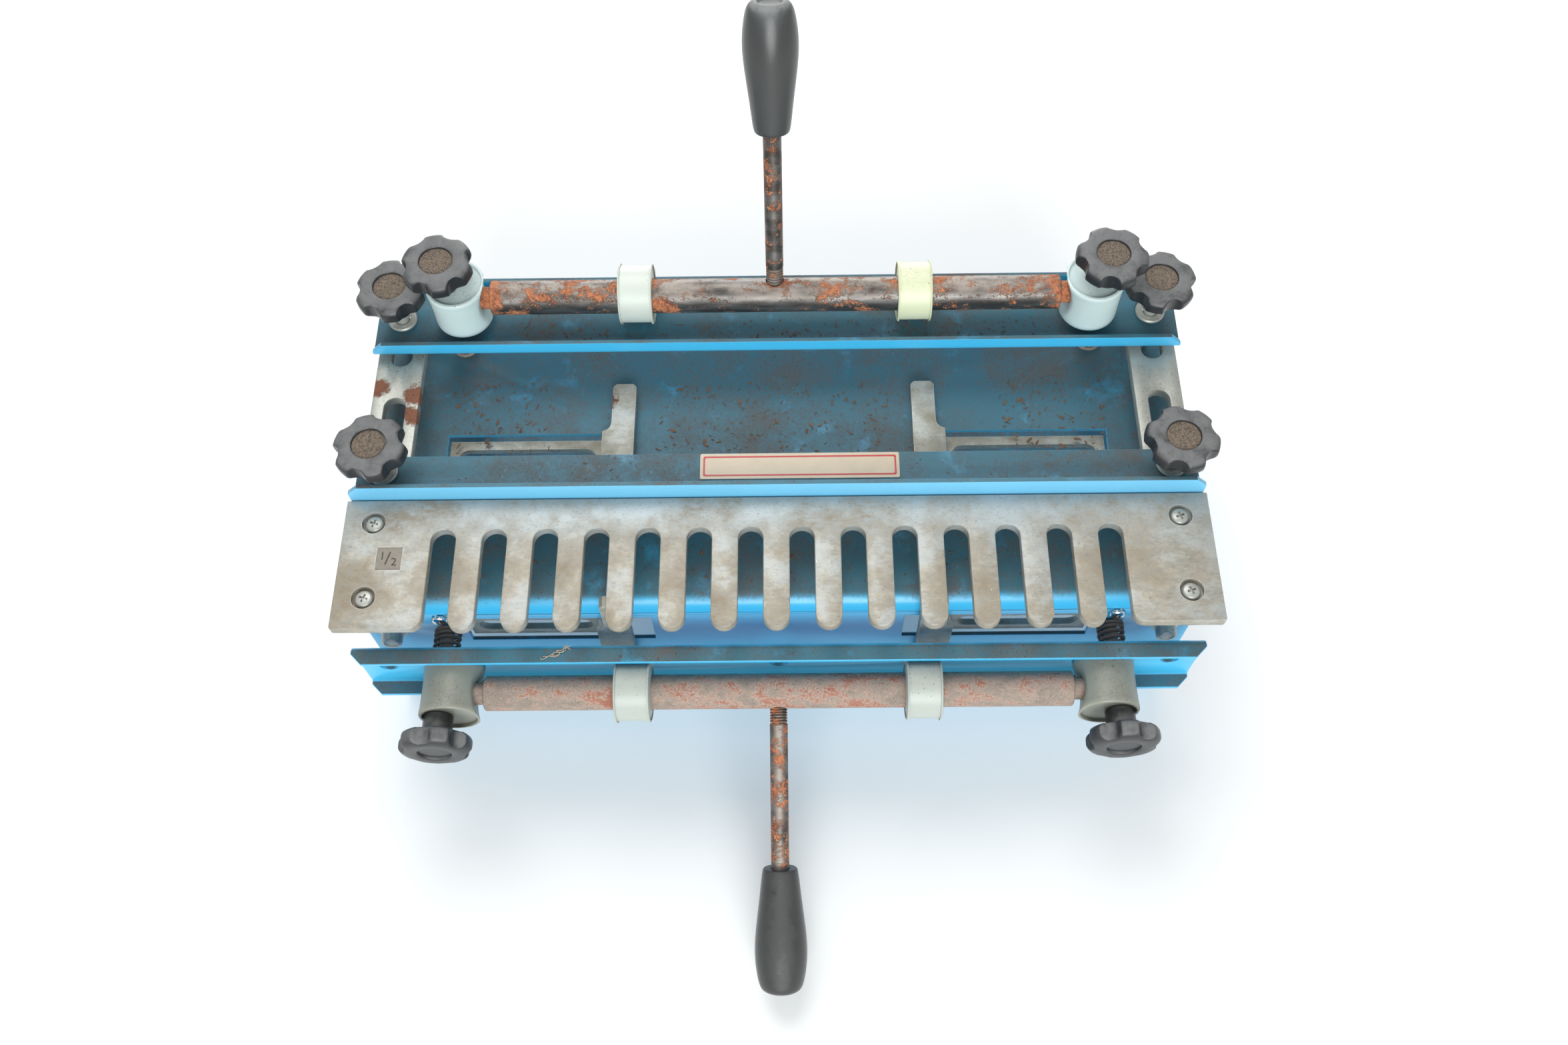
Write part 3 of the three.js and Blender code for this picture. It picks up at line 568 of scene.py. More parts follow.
def plated(name, base, rust_share, seed, rust_at=()):
    """Worn zinc plate, with some rust."""
    s = Shader(name)
    cloud = s.noise(9, 6, 0.65, seed=seed)
    metal = s.mix(cloud, scaled(base, 0.75), scaled(base, 1.2))
    fine = s.noise(0.9, 4, 0.7, seed=seed + 5)
    metal = s.mix(s.times(s.step(fine, 0.54, 0.70), 0.45), metal, scaled(base, 0.5))
    least = 0.68 - rust_share * 0.3
    spots = s.step(s.noise(11, 7, 0.7, seed=seed + 1), least, least + 0.06)
    for patch in rust_at:
        spots = s.maths("MAXIMUM", spots, s.near(*patch))
    rust = s.mix(s.noise(1.5, 5, 0.7, seed=seed + 6), (0.10, 0.035, 0.02), (0.38, 0.15, 0.08))
    metal = s.mix(spots, metal, rust)
    metal, cover = dusted(s, metal, 0.3, seed=seed)
    s.bump(s.maths("ADD", fine, spots), 0.07, 0.5)
    rough = s.maths("MAXIMUM", s.blend(spots, 0.42, 0.88), cover)
    return s.done(metal, rough, s.blend(spots, 0.45, 0.05))


def pale_plastic(name, base, darkening, seed):
    """Moulded pale plastic with smudges, and dust where it faces up."""
    s = Shader(name)
    cloud = s.noise(14, 4, seed=seed)
    colour = s.mix(cloud, scaled(base, 0.92), scaled(base, 1.05))
    colour, cover = dusted(s, colour, darkening, seed=seed)
    smudges = s.times(s.step(s.noise(6, 6, 0.7, seed=seed + 2), 0.56, 0.75), darkening * 0.5)
    colour = s.mix(smudges, colour, (0.30, 0.26, 0.19))
    s.surface.inputs["Subsurface Weight"].default_value = 0.12
    s.surface.inputs["Subsurface Scale"].default_value = 2 * MM
    s.bump(s.noise(0.9, 2), 0.03, 0.35)
    return s.done(colour, s.blend(cover, 0.40, 0.85))


def black_plastic(name, base, faded_and_sheen_colour, haze_and_sheen, seed):
    """Moulded black plastic, painted lighter grey where it faces up: fading and dust, and a painted highlight of
    the light above.
    """
    s = Shader(name)
    cloud = s.noise(7, 7, 0.7, seed=seed)
    faded_and_sheen = s.times(s.facing_up(0.45, 0.97), s.step(cloud, 0.22, 0.60))
    colour = s.mix(s.times(faded_and_sheen, haze_and_sheen), base, faded_and_sheen_colour)
    scuffs = s.step(s.noise(1.3, 5, 0.75, stretch=(1, 0.4, 1), seed=seed + 1), 0.63, 0.71)
    colour = s.mix(s.times(scuffs, 0.45), colour, (0.30, 0.27, 0.24))
    grains = s.step(s.noise(0.8, 3, 0.6, seed=seed + 2), 0.66, 0.72)
    colour = s.mix(s.times(grains, 0.4), colour, (0.05, 0.035, 0.03))
    s.bump(s.noise(0.5, 3), 0.06, 0.6)
    return s.done(colour, s.blend(faded_and_sheen, 0.32, 0.7))


def caked_dust():
    """Brown dust lying in the hollow of a knob."""
    s = Shader("caked_dust")
    grains = s.noise(0.8, 4, 0.7)
    colour = s.mix(s.step(grains, 0.35, 0.62), (0.06, 0.052, 0.045), (0.19, 0.145, 0.105))
    colour = s.mix(s.step(s.noise(0.45, 2, seed=5), 0.64, 0.72), colour, (0.34, 0.23, 0.14))
    s.bump(grains, 0.25, 0.9)
    return s.done(colour, 0.95)


def plain(name, colour, roughness, metallic=0.0, spread=0.12, size=3.0):
    """One colour with slight clouding and a fine surface."""
    s = Shader(name)
    s.bump(s.noise(0.5, 3), 0.02, 0.3)
    clouded = s.mix(s.noise(size, 4), scaled(colour, 1 - spread), scaled(colour, 1 + spread))
    return s.done(clouded, roughness, metallic)


BLUE = blue_paint("blue_paint", 0.0, 0)
# The label bar's paint is whitened: a paler tint and a painted reflection.
PALE_BLUE = blue_paint("pale_blue_paint", 0.28, 3)
COMB_LOW, COMB_HIGH = low_high("comb")
# The comb's rear band is tinted as a painted sky reflection.
COMB_ZINC = cast_zinc("comb_zinc", (0.345, 0.32, 0.262), (0.25, 0.19, 0.12), 1,
                      sky_reflection_band=(COMB_LOW.y + 30, COMB_HIGH.y))
STOP_COLOURS = (0.35, 0.35, 0.30), (0.20, 0.16, 0.10)
STOP_ZINC = cast_zinc("stop_zinc", *STOP_COLOURS, 21)
LEFT_STOP_RUST = low_high("table_stop_left")[1] - Vector((17, 9, 0))
STAINED_STOP_ZINC = cast_zinc("stained_stop_zinc", *STOP_COLOURS, 24, (LEFT_STOP_RUST, 8, 4))
REAR_ROD_END_RUST = [((x, *middle("rear_rod").yz), 9.5) for x in (-130, 130)]
ROD_RUST = {"rear": rusted("rear_rod_steel", 0.42, 8, 2, REAR_ROD_END_RUST),
            "front": granular_rust("front_rod_steel", 8)}
LEVER_RUST = {"rear": rusted("rear_lever_steel", 0.42, 6, 12),
              "front": rusted("front_lever_steel", 0.46, 5, 15)}
SPRING_RUST = {"rear": granular_rust("rear_spring_steel", 30),
               "front": granular_rust("front_spring_steel", 33, 0.8)}
ARM_SLOT = low_high("arm_left")[1] - Vector((10.8, 54, 0))  # beside the end of its front slot
ARM_RUST_PATCHES = ((-9, 1, 5, 2), (9, -3, 6, 3), (9, -14, 5, 4))  # across, back, reach, seed
ARM_RUST = [(ARM_SLOT + Vector((x, y, 0)), reach, seed) for x, y, reach, seed in ARM_RUST_PATCHES]
ARM_PLATE = {"left": plated("arm_plate_left", (0.41, 0.42, 0.375), 0.04, 41, ARM_RUST),
             "right": plated("arm_plate_right", (0.45, 0.46, 0.41), 0.0, 44)}
FIXING = plated("fixing_plate", (0.46, 0.47, 0.43), 0.1, 50)
CHROME = plain("dome_chrome", (0.80, 0.81, 0.82), 0.16, 1.0)
# The front cups and rings get a darker base than the rear ones: painted shade of the front clamp under the
# template; the front cups' heavier grime is dirt.
CUP_PLASTIC = {"rear": pale_plastic("rear_cup_plastic", (0.55, 0.67, 0.655), 0.15, 60),
               "front": pale_plastic("shaded_front_cup_plastic", (0.275, 0.285, 0.24), 0.35, 63)}
RING_PLASTIC = {"rear": pale_plastic("rear_ring_plastic", (0.56, 0.605, 0.545), 0.10, 66),
                "front": pale_plastic("shaded_front_ring_plastic", (0.41, 0.45, 0.41), 0.12, 68)}
YELLOWED = pale_plastic("yellowed_plastic", (0.66, 0.69, 0.48), 0.10, 69)
KNOB_PLASTIC = black_plastic("knob_plastic", (0.022, 0.023, 0.025), (0.175, 0.175, 0.175), 0.8, 70)
# The rear grip is painted lighter and the front grip darker: lit and shaded copies of the same black plastic.
GRIP_PLASTIC = {"rear": black_plastic("lit_rear_grip_plastic", (0.045, 0.047, 0.047),
                                      (0.24, 0.25, 0.245), 0.75, 73),
                "front": black_plastic("shaded_front_grip_plastic", (0.028, 0.029, 0.029),
                                       (0.075, 0.075, 0.07), 0.4, 76)}
KNOB_DUST = caked_dust()
CREAM = plain("label_cream", (0.60, 0.50, 0.37), 0.5, spread=0.12, size=5)
RED = plain("label_red", (0.50, 0.040, 0.045), 0.45)
ENGRAVED = plain("engraved_number", (0.07, 0.06, 0.05), 0.8)
# Colour of the plate in the size mark's recess: painted shade.
RECESS_SHADE = plain("painted_recess_shade", (0.24, 0.215, 0.175), 0.7, spread=0.3, size=2)
SAWDUST = plain("sawdust", (0.15, 0.095, 0.062), 0.95, spread=0.6, size=6)
STRAW = plain("straw", (0.50, 0.47, 0.14), 0.8)
FIBRE = plain("fibre", (0.48, 0.38, 0.28), 0.9)


# ---------------------------------------------------------------- knobs and grips

KNOB_LOBES = 6
KNOB_TURN = {
    "rear_knob_left": 10, "rear_knob_right": 20, "front_knob_left": 40, "front_knob_right": 0,
    "corner_knob_left": 5, "corner_knob_right": 45, "mid_knob_left": 15, "mid_knob_right": 15,
}


def knob(node):
    """A star knob: a rounded disc with six notches, a dusty hollow, and a hub on the stud."""
    origin, axis = axis_of(BODY[node])
    foot, top = span(node, origin, axis)
    radius, thick = 16.2, 8.5
    notch, notch_out = 4.9, 17.9  # a notch's radius, and its centre's distance from the axis
    hub_radius, hollow = 6.6, 7.4
    bore, bore_depth = STUD_BORE, 12
    lobe = 2 * math.pi / KNOB_LOBES
    sides = 24 * KNOB_LOBES
    turn = math.radians(KNOB_TURN[node])

    def rim(disc_radius):
        def at(angle):
            off = (angle - turn + lobe / 2) % lobe - lobe / 2
            inside = notch ** 2 - (notch_out * math.sin(off)) ** 2
            scallop = notch_out * math.cos(off) - math.sqrt(inside) if inside > 0 else radius + 9
            return softer_of(disc_radius, scallop, 1.4)
        return at

    under = top - thick
    lower_edge = [(13.4, 0.0), (14.6, 0.25), (15.5, 0.9), (16.0, 1.8), (radius, 2.9)]
    upper_edge = [(radius, 3.7), (16.05, 2.8), (15.6, 1.9), (14.9, 1.15), (13.9, 0.55),
                  (12.6, 0.18), (11.2, 0.02), (9.6, 0.0), (hollow + 1.0, 0.1),
                  (hollow + 0.5, 0.2), (hollow + 0.1, 0.45), (hollow, 0.8), (hollow - 0.1, 1.3)]
    rows = [circle(bore, foot, sides), circle(hub_radius - 0.5, foot, sides),
            circle(hub_radius, foot + 0.5, sides), circle(hub_radius, under - 1.2, sides),
            circle(hub_radius + 0.4, under - 0.4, sides), circle(hub_radius + 1.4, under, sides)]
    rows += [circle(rim(r), under + up, sides) for r, up in lower_edge]
    rows += [circle(rim(r), top - down, sides) for r, down in upper_edge]
    bm = bmesh.new()
    made = skin(bm, rows)
    inner = turned(bm, [(bore, foot), (bore, foot + bore_depth), (0, foot + bore_depth)], sides)
    dust = turned(bm, [(hollow - 0.1, top - 1.3), (hollow * 0.6, top - 1.1),
                       (hollow * 0.25, top - 1.2), (0, top - 1.15)], sides, material=1)
    bmesh.ops.remove_doubles(bm, verts=made[0] + inner[0] + made[-1] + dust[0], dist=0.001)
    stood(bm, origin, axis)
    in_hollow = KNOB_PLASTIC if node.startswith("front") else KNOB_DUST
    stand_in(node, bm, KNOB_PLASTIC, in_hollow, smooth_angle=50)


def lever_place(clamp):
    """The cam's centre, the lever's direction and the turn that lays +Z along it."""
    centre, _ = axis_of(clamp + "_cam")
    direction = middle(clamp + "_grip") - centre
    direction.x = 0
    direction.normalize()
    return centre, direction, direction.to_track_quat("Z", "X").to_matrix().to_4x4()


def grip(clamp):
    """A lever's moulded handle, swelling towards its end, with a raised seam."""
    node = clamp + "_grip"
    centre, direction, turn = lever_place(clamp)
    foot, end = span(node, centre, direction)
    bore, bore_depth, sides = 4.3, 40, 72
    outside = smooth([
        (7.0, foot + 0.1), (7.9, foot + 1.5), (9.4, foot + 14), (11.0, foot + 27),
        (11.6, foot + 35), (11.4, foot + 42), (10.4, foot + 49), (9.1, end - 2.0),
        (7.0, end - 0.3), (5.6, end - 0.2), (4.2, end - 1.2), (2.2, end - 1.7),
    ])
    pairs = [(bore, foot + 0.1), *outside, (0, end - 1.8)]
    inside = [(bore, foot + 0.1), (bore, foot + bore_depth), (0, foot + bore_depth)]
    bm = lathe(pairs, sides)
    turned(bm, inside, sides)
    bmesh.ops.remove_doubles(bm, verts=bm.verts, dist=0.001)
    seam_height, seam_half_width = 0.12, 0.45
    for vert in bm.verts:
        if vert.co.xy.length > 6 and abs(vert.co.x) < seam_half_width:
            vert.co.y += math.copysign(seam_height, vert.co.y)
    moved(bm, centre, turn)
    stand_in(node, bm, GRIP_PLASTIC[clamp], smooth_angle=50)


# ---------------------------------------------------------------- cams

def lever(clamp):
    """The lever's rod with the threads that show above the cam rod."""
    node = clamp + "_lever"
    centre, direction, turn = lever_place(clamp)
    foot, end = span(node, centre, direction)
    radius, root, pitch = 4.0, 3.35, 1.25
    thread_from, threads = 6.5, 6
    pairs = [(0, foot), (root, foot), (root, thread_from)]
    for i in range(threads):
        at = thread_from + i * pitch
        pairs += [(root, at + 0.15), (radius - 0.1, at + 0.5), (radius - 0.1, at + 0.8)]
    plain_from = thread_from + threads * pitch
    pairs += [(root, plain_from + 0.2), (radius, plain_from + 0.9), (radius, end - 0.3),
              (radius - 0.3, end), (0, end)]
    bm = moved(lathe(pairs, 40), centre, turn)
    stand_in(node, bm, LEVER_RUST[clamp])


def cam_rod(clamp):
    """A round rod with a thinner pin at each end and a socket for the lever."""
    node = clamp + "_rod"
    centre, _, lever_turn = lever_place(clamp)
    low, high = low_high(node)
    pin_radius, pin_length, edge = 5.0, 9.5, 0.5
    socket_radius, socket_depth = 4.25, 12
    radius = (high.z - low.z) / 2
    half = (high.x - low.x) / 2
    shoulder = half - pin_length
    right = [(radius, shoulder - edge), (radius - edge, shoulder), (pin_radius, shoulder),
             (pin_radius, half - edge), (pin_radius - edge, half), (0, half)]
    straight = 2 * (shoulder - edge)
    stations = [(radius, straight * (k / 40 - 0.5)) for k in range(1, 40)]
    pairs = [(r, -h) for r, h in reversed(right)] + stations + right
    bm = moved(lathe(pairs, 72), centre, ALONG_X)
    hole = moved(drill(socket_radius, 0, socket_depth, 40), centre, lever_turn)
    stand_in(node, carve(bm, [hole]), ROD_RUST[clamp], smooth_angle=30)


def cam_ring(clamp, word):
    """An eccentric ring: its outside is centred off the rod's axis."""
    node = f"{clamp}_ring_{word}"
    rod_centre, _ = axis_of(clamp + "_cam")
    low, high = low_high(node)
    centre = (low + high) / 2
    half = (high.x - low.x) / 2
    radius = (high.z - low.z) / 2
    offset = Vector((0, rod_centre.y - centre.y, rod_centre.z - centre.z))
    bore, bore_edge, edge, sides = 7.95, 0.35, 0.9, 96
    left_edge = [(radius, -half + edge), (radius - 0.28 * edge, -half + 0.28 * edge),
                 (radius - edge, -half)]
    outside = left_edge + [(r, -h) for r, h in reversed(left_edge)]
    rows = [circle(r, h, sides) for r, h in outside]
    shift = ALONG_X.inverted() @ offset
    left_bore = [(bore, -half + bore_edge), (bore + bore_edge, -half)]
    for r, h in [(r, -h) for r, h in reversed(left_bore)] + left_bore:
        rows.append([p + Vector((shift.x, shift.y, 0)) for p in circle(r, h, sides)])
    bm = bmesh.new()
    skin(bm, rows, loop=True)
    moved(bm, centre, ALONG_X)
    look = YELLOWED if node == "rear_ring_right" else RING_PLASTIC[clamp]
    stand_in(node, bm, look)


def cup(clamp, word):
    """A moulded cup: straight sides, a hollow facing the rod, a rim and a shallow recess."""
    node = f"{clamp}_cup_{word}"
    side = -1 if word == "left" else 1
    rod, _ = axis_of(clamp + "_cam")
    stud_at, axis = axis_of(f"{clamp}_knob_{word}")
    low, high = low_high(node)
    radius = (high.y - low.y if axis.z > 0.5 else high.z - low.z) / 2
    outer_x = high.x if side > 0 else low.x
    origin = Vector((outer_x - side * radius, rod.y, rod.z))
    floor, rim = span(node, origin, axis)
    hollow_radius, hollow_depth = 24.0, 3.5
    hollow_centre = radius - hollow_depth + hollow_radius
    towards_rod = math.pi if side > 0 else 0.0
    recess, wall, pin_bore, sides = 1.5, 1.6, 5.2, 96

    def wall_at(height, outside):
        def at(angle):
            facing = math.cos(angle - towards_rod)
            if facing < 0.05:
                return outside
            limit = hollow_centre - math.sqrt(hollow_radius ** 2 - height ** 2)
            return softer_of(outside, limit / facing, 0.8)
        return at

    rows = [[Vector((0, 0, floor))], circle(wall_at(floor, radius - 1.6), floor, sides)]
    heights = [(floor + 0.35, 0.7), (floor + 1.1, 0.25)]
    heights += [(floor + 1.1 + (rim - 4.2 - floor) * share, 0.12 + 0.28 * math.sin(math.pi * share))
                for share in (k / 10 for k in range(1, 11))]
    heights += [(rim - 2.6, 0.05), (rim - 2.3, 0), (rim - 0.7, 0), (rim - 0.2, 0.25)]
    rows += [circle(wall_at(h, radius - inset), h, sides) for h, inset in heights]
    mouth = [(rim, 0.7), (rim, wall - 0.2), (rim - 0.3, wall), (rim - recess, wall + 0.2),
             (rim - recess, 4)]
    rows += [circle(wall_at(rim, radius - inset), h, sides) for h, inset in mouth]
    rows.append([Vector((0, 0, rim - recess))])
    bm = bmesh.new()
    skin(bm, rows)
    stood(bm, origin, axis)
    inwards = Matrix.Rotation(-side * math.pi / 2, 4, "Y")
    pin_hole = moved(drill(pin_bore, -6, 30, 48), origin, inwards)
    stud_hole = stood(drill(STUD_BORE, -60, 60, 40), stud_at, axis)
    stand_in(node, carve(bm, [pin_hole, stud_hole]), CUP_PLASTIC[clamp], smooth_angle=42)


def spring(clamp, word):
    """A coil spring whose end turns lie closer together."""
    node = f"{clamp}_spring_{word}"
    low, high = low_high(node)
    centre = (low + high) / 2
    axis = Vector((0, 0, 1)) if clamp == "rear" else Vector((0, -1, 0))
    start, end = span(node, centre, axis)
    wire, turns, steps = 0.9, 6, 26
    radius = (high.x - low.x) / 2 - wire
    path = []
    for i in range(turns * steps + 1):
        share = i / (turns * steps)
        angle = 2 * math.pi * turns * share
        eased = share - math.sin(2 * math.pi * share) * 0.05
        height = start + wire + (end - start - 2 * wire) * eased
        path.append(Vector((radius * math.cos(angle), radius * math.sin(angle), height)))
    coil = stood(tube(path, wire, 10), centre, axis)
    stand_in(node, coil, SPRING_RUST[clamp], smooth_angle=60)


# ---------------------------------------------------------------- template

def comb_outline():
    """Two end blocks with round-ended fingers and slots between them."""
    low, high = low_high("comb")
    slot_radius = (PITCH - FINGER_WIDTH) / 2
    tip_radius = FINGER_WIDTH / 2
    slot_end = FRONT_FACE_Y + SLOT_END
    block_front, corner, small_corner = low.y + 0.8, 5.0, 1.2
    first = -FINGERS / 2 * PITCH
    block_end = first - slot_radius
    corner_y = block_front + small_corner
    points = [(low.x, high.y), *arc(low.x + small_corner, corner_y, small_corner, 180, 270, 5)]
    points += arc(block_end - corner, block_front + corner, corner, 270, 360, 10)
    for i in range(FINGERS + 1):
        x = first + i * PITCH
        points += arc(x, slot_end - slot_radius, slot_radius, 180, 0)
        if i < FINGERS:
            points += arc(x + PITCH / 2, low.y + tip_radius, tip_radius, 180, 360)
    points += arc(-block_end + corner, block_front + corner, corner, 180, 270, 10)
    points += arc(high.x - small_corner, corner_y, small_corner, 270, 360, 5)
    points.append((high.x, high.y))
    return points


def comb():
    """The finger template, with counterbored screw holes and a recessed size mark."""
    low, high = low_high("comb")
    hole, counterbore, counterbore_depth = 2.6, 5.2, 2.8  # two radii and a depth
    cutters = []
    for row in SCREW_ROWS:
        for word in SIDES:
            at = middle(f"template_screw_{row}_{word}")
            bore = lathe([(0, -20), (hole, -20), (hole, -counterbore_depth),
                          (counterbore, -counterbore_depth), (counterbore, 2), (0, 2)], 56)
            cutters.append(moved(bore, (at.x, at.y, high.z)))
    mark = Vector((SIZE_MARK[0], FRONT_FACE_Y + SIZE_MARK[1], high.z))
    cutters.append(block((SIZE_MARK_SIDE, SIZE_MARK_SIDE, 2 * SIZE_MARK_DEPTH), mark))
    bm = carve(flat([comb_outline()], low.z, high.z, 0.45), cutters)
    stand_in("comb", bm, COMB_ZINC, smooth_angle=35)
    number(mark - Vector((0, 0, SIZE_MARK_DEPTH)))


def number(at):
    """The slots' size, as raised figures on a darker plate in the square recess, standing for the recess's painted
    shade.
    """
    side, thick = SIZE_MARK_SIDE - 0.3, 0.08
    # A dark plate on the recess's floor: painted shade.
    darkening = block((side, side, thick), at + Vector((0, 0, thick / 2)))
    show("size_mark_floor", darkening, [RECESS_SHADE], "template")
    digits = (("1", -3.0, 1.2), ("/", -0.6, 0.0), ("2", 2.2, -1.6))
    for i, (digit, x, y) in enumerate(digits):
        curve = bpy.data.curves.new(f"figure_{i}", "FONT")
        curve.body = digit
        curve.size = 5.2 if digit != "/" else 8.5
        curve.align_x = curve.align_y = "CENTER"
        curve.extrude = 0.09
        bm = moved(solid_of(curve, 0.001), at + Vector((x, y, 0.1)))
        show(f"size_figure_{i}", bm, [ENGRAVED], "template")


def slot_outline(x, y0, y1, r):
    """The outline of a slot along Y with round ends."""
    return arc(x, y0 + r, r, 180, 360) + arc(x, y1 - r, r, 0, 180)


def arm(word):
    """A template arm: a flat strip with two long slots."""
    node = "arm_" + word
    low, high = low_high(node)
    x = (low.x + high.x) / 2
    corner, slot_radius, screw_hole = 1.5, 5.0, 2.5
    slots = ((high.y - 117, high.y - 58.7), (high.y - 41, high.y - 3.5))
    holes = [slot_outline(x, y0, y1, slot_radius) for y0, y1 in slots]
    bm = flat([rounded_box(low, high, corner), *holes], low.z, high.z, 0.4)
    cutters = []
    for row in SCREW_ROWS:
        at = middle(f"template_screw_{row}_{word}")
        cutters.append(moved(drill(screw_hole, -4, 12, 32), (at.x, at.y, low.z)))
    stand_in(node, carve(bm, cutters), ARM_PLATE[word], smooth_angle=35)


# ---------------------------------------------------------------- screws, washers, nuts

def pan_head(node, axis, look, turn):
    """A pan-head or domed screw with a cross recess, standing where the CAD's does."""
    low, high = low_high(node)
    centre = (low + high) / 2
    foot, top = span(node, centre, axis)
    radius = (high.x - low.x) / 2
    shank, head = radius * 0.55, radius * 0.6
    dome = smooth([(radius - 0.05, top - head + 0.25), (radius, top - head * 0.6),
                   (radius * 0.82, top - head * 0.2), (radius * 0.42, top - 0.04)], 7)
    pairs = [(0, foot), (shank - 0.3, foot), (shank, foot + 0.4), (shank, top - head),
             (radius - 0.25, top - head), *dome, (0, top)]
    slit = (radius * 0.96, radius * 0.26, head * 1.1)
    bm = carve(lathe(pairs, 56), [block(slit, Vector((0, 0, top)), turn + quarter)
                                  for quarter in (0, 90)])
    stand_in(node, stood(bm, centre, axis), look)


def washer(node):
    """A round washer with its upper edges rounded."""
    low, high = low_high(node)
    centre = (low + high) / 2
    radius, bore = (high.x - low.x) / 2, STUD_BORE
    foot, top = low.z - centre.z, high.z - centre.z
    pairs = [(bore, foot), (radius - 0.3, foot), (radius, foot + 0.3), (radius, top - 0.5),
             (radius - 0.5, top), (bore + 0.4, top), (bore, top - 0.3)]
    stand_in(node, moved(lathe(pairs, 56, loop=True), centre), FIXING)


def face_nut(node):
    """A flanged nut on the front face."""
    low, high = low_high(node)
    centre = Vector(((low.x + high.x) / 2, high.y, (low.z + high.z) / 2))
    forward = Vector((0, -1, 0))
    back, front = span(node, centre, forward)
    flange, body, tail, base = 6.6, 4.7, 3.1, 6.0
    pairs = [(0, back), (tail, back), (tail, base), (flange - 0.3, base), (flange, base + 0.3),
             (flange, base + 1.0), (body + 0.9, base + 2.2), (body, base + 3), (body, front - 0.6),
             (body - 0.5, front - 0.1), (3.4, front), (3.2, front - 0.5), (0, front - 0.6)]
    stand_in(node, stood(lathe(pairs, 56), centre, forward), FIXING)


# ---------------------------------------------------------------- label, dust and fibres

def label():
    """A plain cream plate with a thin red frame."""
    low, high = low_high("label_plate")
    corner = 0.8
    plate = flat([rounded_box(low, high, corner)], low.z, high.z, 0.08)
    stand_in("label_plate", plate, CREAM)
    line = [rounded_box(low, high, corner, inset) for inset in (1.4, 2.2)]
    show("label_frame", flat(line, high.z - 0.05, high.z + 0.06, 0.02), [RED], "base")


def litter(name, body, low, high, count, sizes, rng):
    """Wood chips lying on a flat surface at the height of low.z."""
    bm = bmesh.new()
    for _ in range(count):
        length = rng.uniform(*sizes) * (1.9 if rng.random() < 0.12 else 1)
        width = length * rng.uniform(0.18, 0.5)
        thick = min(0.45, width * rng.uniform(0.4, 0.8))
        rows = [[Vector((-length / 2, 0, 0))]]
        for share in (-0.25, 0.28):
            swell = rng.uniform(0.7, 1.1)
            rows.append([Vector((length * share, swell * width / 2 * y, thick / 2 * z * swell))
                         for y, z in ((1, 0), (0, 1), (-1, 0), (0, -1))])
        rows.append([Vector((length / 2, 0, thick * rng.uniform(-0.3, 0.3)))])
        at = Vector((rng.uniform(low.x, high.x), rng.uniform(low.y, high.y), low.z + thick * 0.45))
        turn = Matrix.Rotation(rng.uniform(0, math.tau), 4, "Z")
        turn = turn @ Matrix.Rotation(rng.uniform(-0.12, 0.12), 4, "Y")
        skin(bm, [[Matrix.Translation(at) @ turn @ p for p in row] for row in rows])
    show(name, bm, [SAWDUST], body, 20)


def fibre(name, body, start, end, sway, radius, look, rng):
    """A thin curly fibre from one point to another."""
    value_noise.seed_set(1)  # without it the noise follows the clock
    phase = rng.uniform(0, 10)
    steps = 60
    path = []
    for share in (i / steps for i in range(steps + 1)):
        wander = value_noise.noise_vector(Vector((share * 5 + phase, phase, 0)))
        lift = abs(wander.z) * 0.3
        path.append(start.lerp(end, share) + Vector((wander.x, wander.y, lift)) * sway)
    show(name, tube(path, radius, 6), [look], body, 60)


def chip_areas():
    """Each area of chips: name, body, X, Y and Z of the area, how many, and their lengths."""
    table = low_high("base")[1].z
    stop_x = low_high("table_stop_right")[0].x
    label_low, label_high = low_high("label_bar")
    bar_low, bar_high = low_high("rear_bar")
    front_low, front_high = low_high("front_bar")
    yield ("on_table", "base", (-stop_x + 8, stop_x - 10),
           (label_high.y - 8, bar_high.y - 40), table, 430, (0.5, 2.2))
    beside_y = (FRONT_FACE_Y + 76, FRONT_FACE_Y + 118)
    yield "beside_left", "base", (-155, -106), beside_y, table, 150, (0.6, 2.3)
    yield "beside_right", "base", (106, 155), beside_y, table, 150, (0.6, 2.3)
    yield ("front_table", "base", (-140, 140),
           (FRONT_FACE_Y + 10, FRONT_FACE_Y + 32), table, 170, (0.6, 2.0))
    yield ("on_rear_bar", "rear_clamp_bar", (-128, 128),
           (bar_low.y + 5, bar_low.y + 17), bar_low.z + SHEET, 260, (0.5, 1.9))
    label_y = (label_low.y + 6, label_high.y - 1)
    label_z = label_low.z + SHEET
    yield "on_label_bar", "base", (-160, -38), label_y, label_z, 45, (0.4, 1.2)
    yield "on_label_bar_right", "base", (60, 160), label_y, label_z, 45, (0.4, 1.2)
    yield ("on_front_bar", "front_clamp_bar", (-175, 175),
           (front_low.y + 1, front_high.y - 3), front_high.z, 110, (0.3, 0.9))


def debris():
    """Chips, one straw and three curls; one random sequence feeds them all, in this order."""
    rng = random.Random(7)
    for name, body, (x0, x1), (y0, y1), z, count, sizes in chip_areas():
        litter(f"chips_{name}", body, Vector((x0, y0, z)), Vector((x1, y1, z)), count, sizes, rng)
    bar_low, bar_high = low_high("rear_bar")
    straw_z = bar_low.z + SHEET + 0.4
    fibre("straw_on_rear_bar", "rear_clamp_bar", Vector((-48, bar_high.y - 5, straw_z)),
          Vector((-4, bar_high.y - 4, straw_z)), 3.0, 0.28, STRAW, rng)
    front_low, front_high = low_high("front_bar")
    curl_z = front_high.z + 0.4
    for i, (x0, x1) in enumerate(((-101, -93), (-99, -91), (-104, -90))):
        fibre(f"curl_on_front_bar_{i}", "front_clamp_bar",
              Vector((x0, front_low.y + 2, curl_z)), Vector((x1, front_high.y - 1.5, curl_z)),
              2.6, 0.17, FIBRE, rng)


# ---------------------------------------------------------------- building the jig

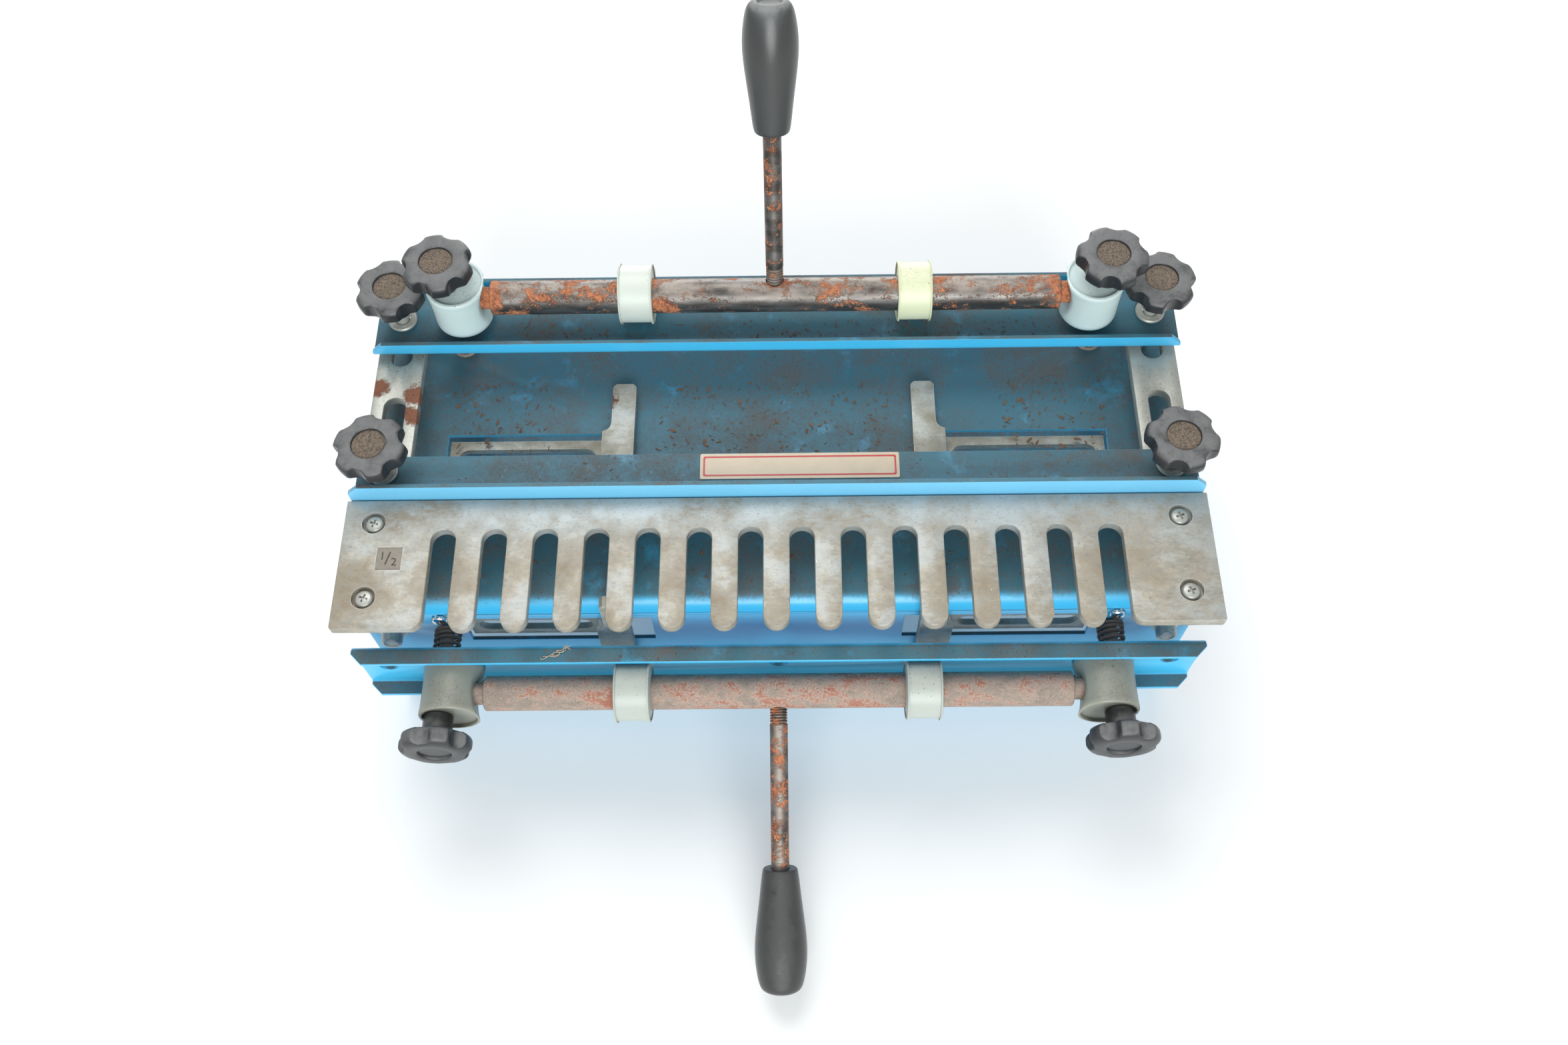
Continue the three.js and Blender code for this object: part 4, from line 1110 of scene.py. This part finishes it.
for node in ("base", "rear_bar", "front_bar"):
    refined(node, 0.3, BLUE)
refined("label_bar", 0.3, PALE_BLUE)
for kind in ("table_stop", "face_stop"):
    for word in SIDES:
        stained = kind == "table_stop" and word == "left"
        refined(f"{kind}_{word}", 0.55, STAINED_STOP_ZINC if stained else STOP_ZINC)
for word in SIDES:
    for row in ("rear", "front", "corner", "mid"):
        refined(f"{row}_stud_{word}", 0.2, FIXING)
        knob(f"{row}_knob_{word}")
    for clamp in CLAMPS:
        cam_ring(clamp, word)
        cup(clamp, word)
        spring(clamp, word)
    arm(word)
    washer("corner_washer_" + word)
    washer("mid_washer_" + word)
    face_nut("face_nut_" + word)
    lean = 20 if word == "right" else -20
    pan_head("face_screw_" + word, Vector((0, -1, 0)), CHROME, 0)
    pan_head("table_screw_" + word, Vector((0, 0, 1)), FIXING, 30)
    for row in SCREW_ROWS:
        pan_head(f"template_screw_{row}_{word}", Vector((0, 0, 1)), FIXING, lean)
for clamp in CLAMPS:
    cam_rod(clamp)
    lever(clamp)
    grip(clamp)
comb()
label()
debris()


# ---------------------------------------------------------------- floor, light, camera

CAMERA_AT = Vector((8.3, FRONT_FACE_Y - 258.4, 670.1)) * MM
CAMERA_PITCH = 62.31  # degrees below level
CAMERA_YAW = -0.99
CAMERA_ROLL = -1.45
CAMERA_LENS = 32.5  # mm, on a sensor 36 mm wide


def floor():
    """A plain pale floor, 8 m square."""
    s = Shader("floor")
    colour = s.mix(s.noise(260, 4), (0.78, 0.78, 0.77), (0.84, 0.84, 0.83))
    look = s.done(colour, 0.75)
    bm = bmesh.new()
    bmesh.ops.create_grid(bm, x_segments=2, y_segments=2, size=4)
    mesh = bpy.data.meshes.new("floor")
    bm.to_mesh(mesh)
    bm.free()
    mesh.materials.append(look)
    placed("floor", mesh)


def area_light(name, at, aim, size, watts, colour=(1, 1, 1)):
    data = bpy.data.lights.new(name, "AREA")
    data.shape = "DISK"
    data.size = size
    data.energy = watts
    data.color = colour
    obj = placed(name, data)
    obj.location = at
    obj.rotation_mode = "QUATERNION"
    obj.rotation_quaternion = (Vector(aim) - Vector(at)).to_track_quat("-Z", "Y")


def light():
    """A window in front of the jig, a weaker lamp above and one low behind it."""
    world = bpy.data.worlds.new("studio")
    world.use_nodes = True
    background = world.node_tree.nodes["Background"]
    background.inputs["Color"].default_value = (0.95, 0.98, 1.0, 1)
    background.inputs["Strength"].default_value = 0.50
    bpy.context.scene.world = world
    area_light("front_window", (0.1, -1.45, 0.95), (0, 0, 0.1), 1.2, 29, (0.98, 1.0, 1.0))
    area_light("overhead", (-0.25, 0.75, 1.5), (0, 0.05, 0.1), 1.1, 15)
    area_light("behind", (0, 1.3, 0.3), (0, 0.05, 0), 0.8, 9)
    bpy.context.scene.view_settings.view_transform = "Standard"


def camera():
    """The photo's camera, fitted to the jig's corners."""
    pitch = math.radians(CAMERA_PITCH)
    yaw = math.radians(CAMERA_YAW)
    roll = math.radians(CAMERA_ROLL)
    forward = Vector((math.sin(yaw), math.cos(yaw), 0))
    ahead = forward * math.cos(pitch) - Vector((0, 0, math.sin(pitch)))
    level = Vector((math.cos(yaw), -math.sin(yaw), 0))
    over = level.cross(ahead)
    right = level * math.cos(roll) + over * math.sin(roll)
    up = over * math.cos(roll) - level * math.sin(roll)
    data = bpy.data.cameras.new("camera")
    data.lens = CAMERA_LENS
    data.sensor_width = 36
    data.clip_start = 0.01
    obj = placed("camera", data)
    turn = Matrix((right, up, -ahead)).transposed()
    obj.matrix_world = Matrix.Translation(CAMERA_AT) @ turn.to_4x4()
    bpy.context.scene.camera = obj


floor()
light()
camera()
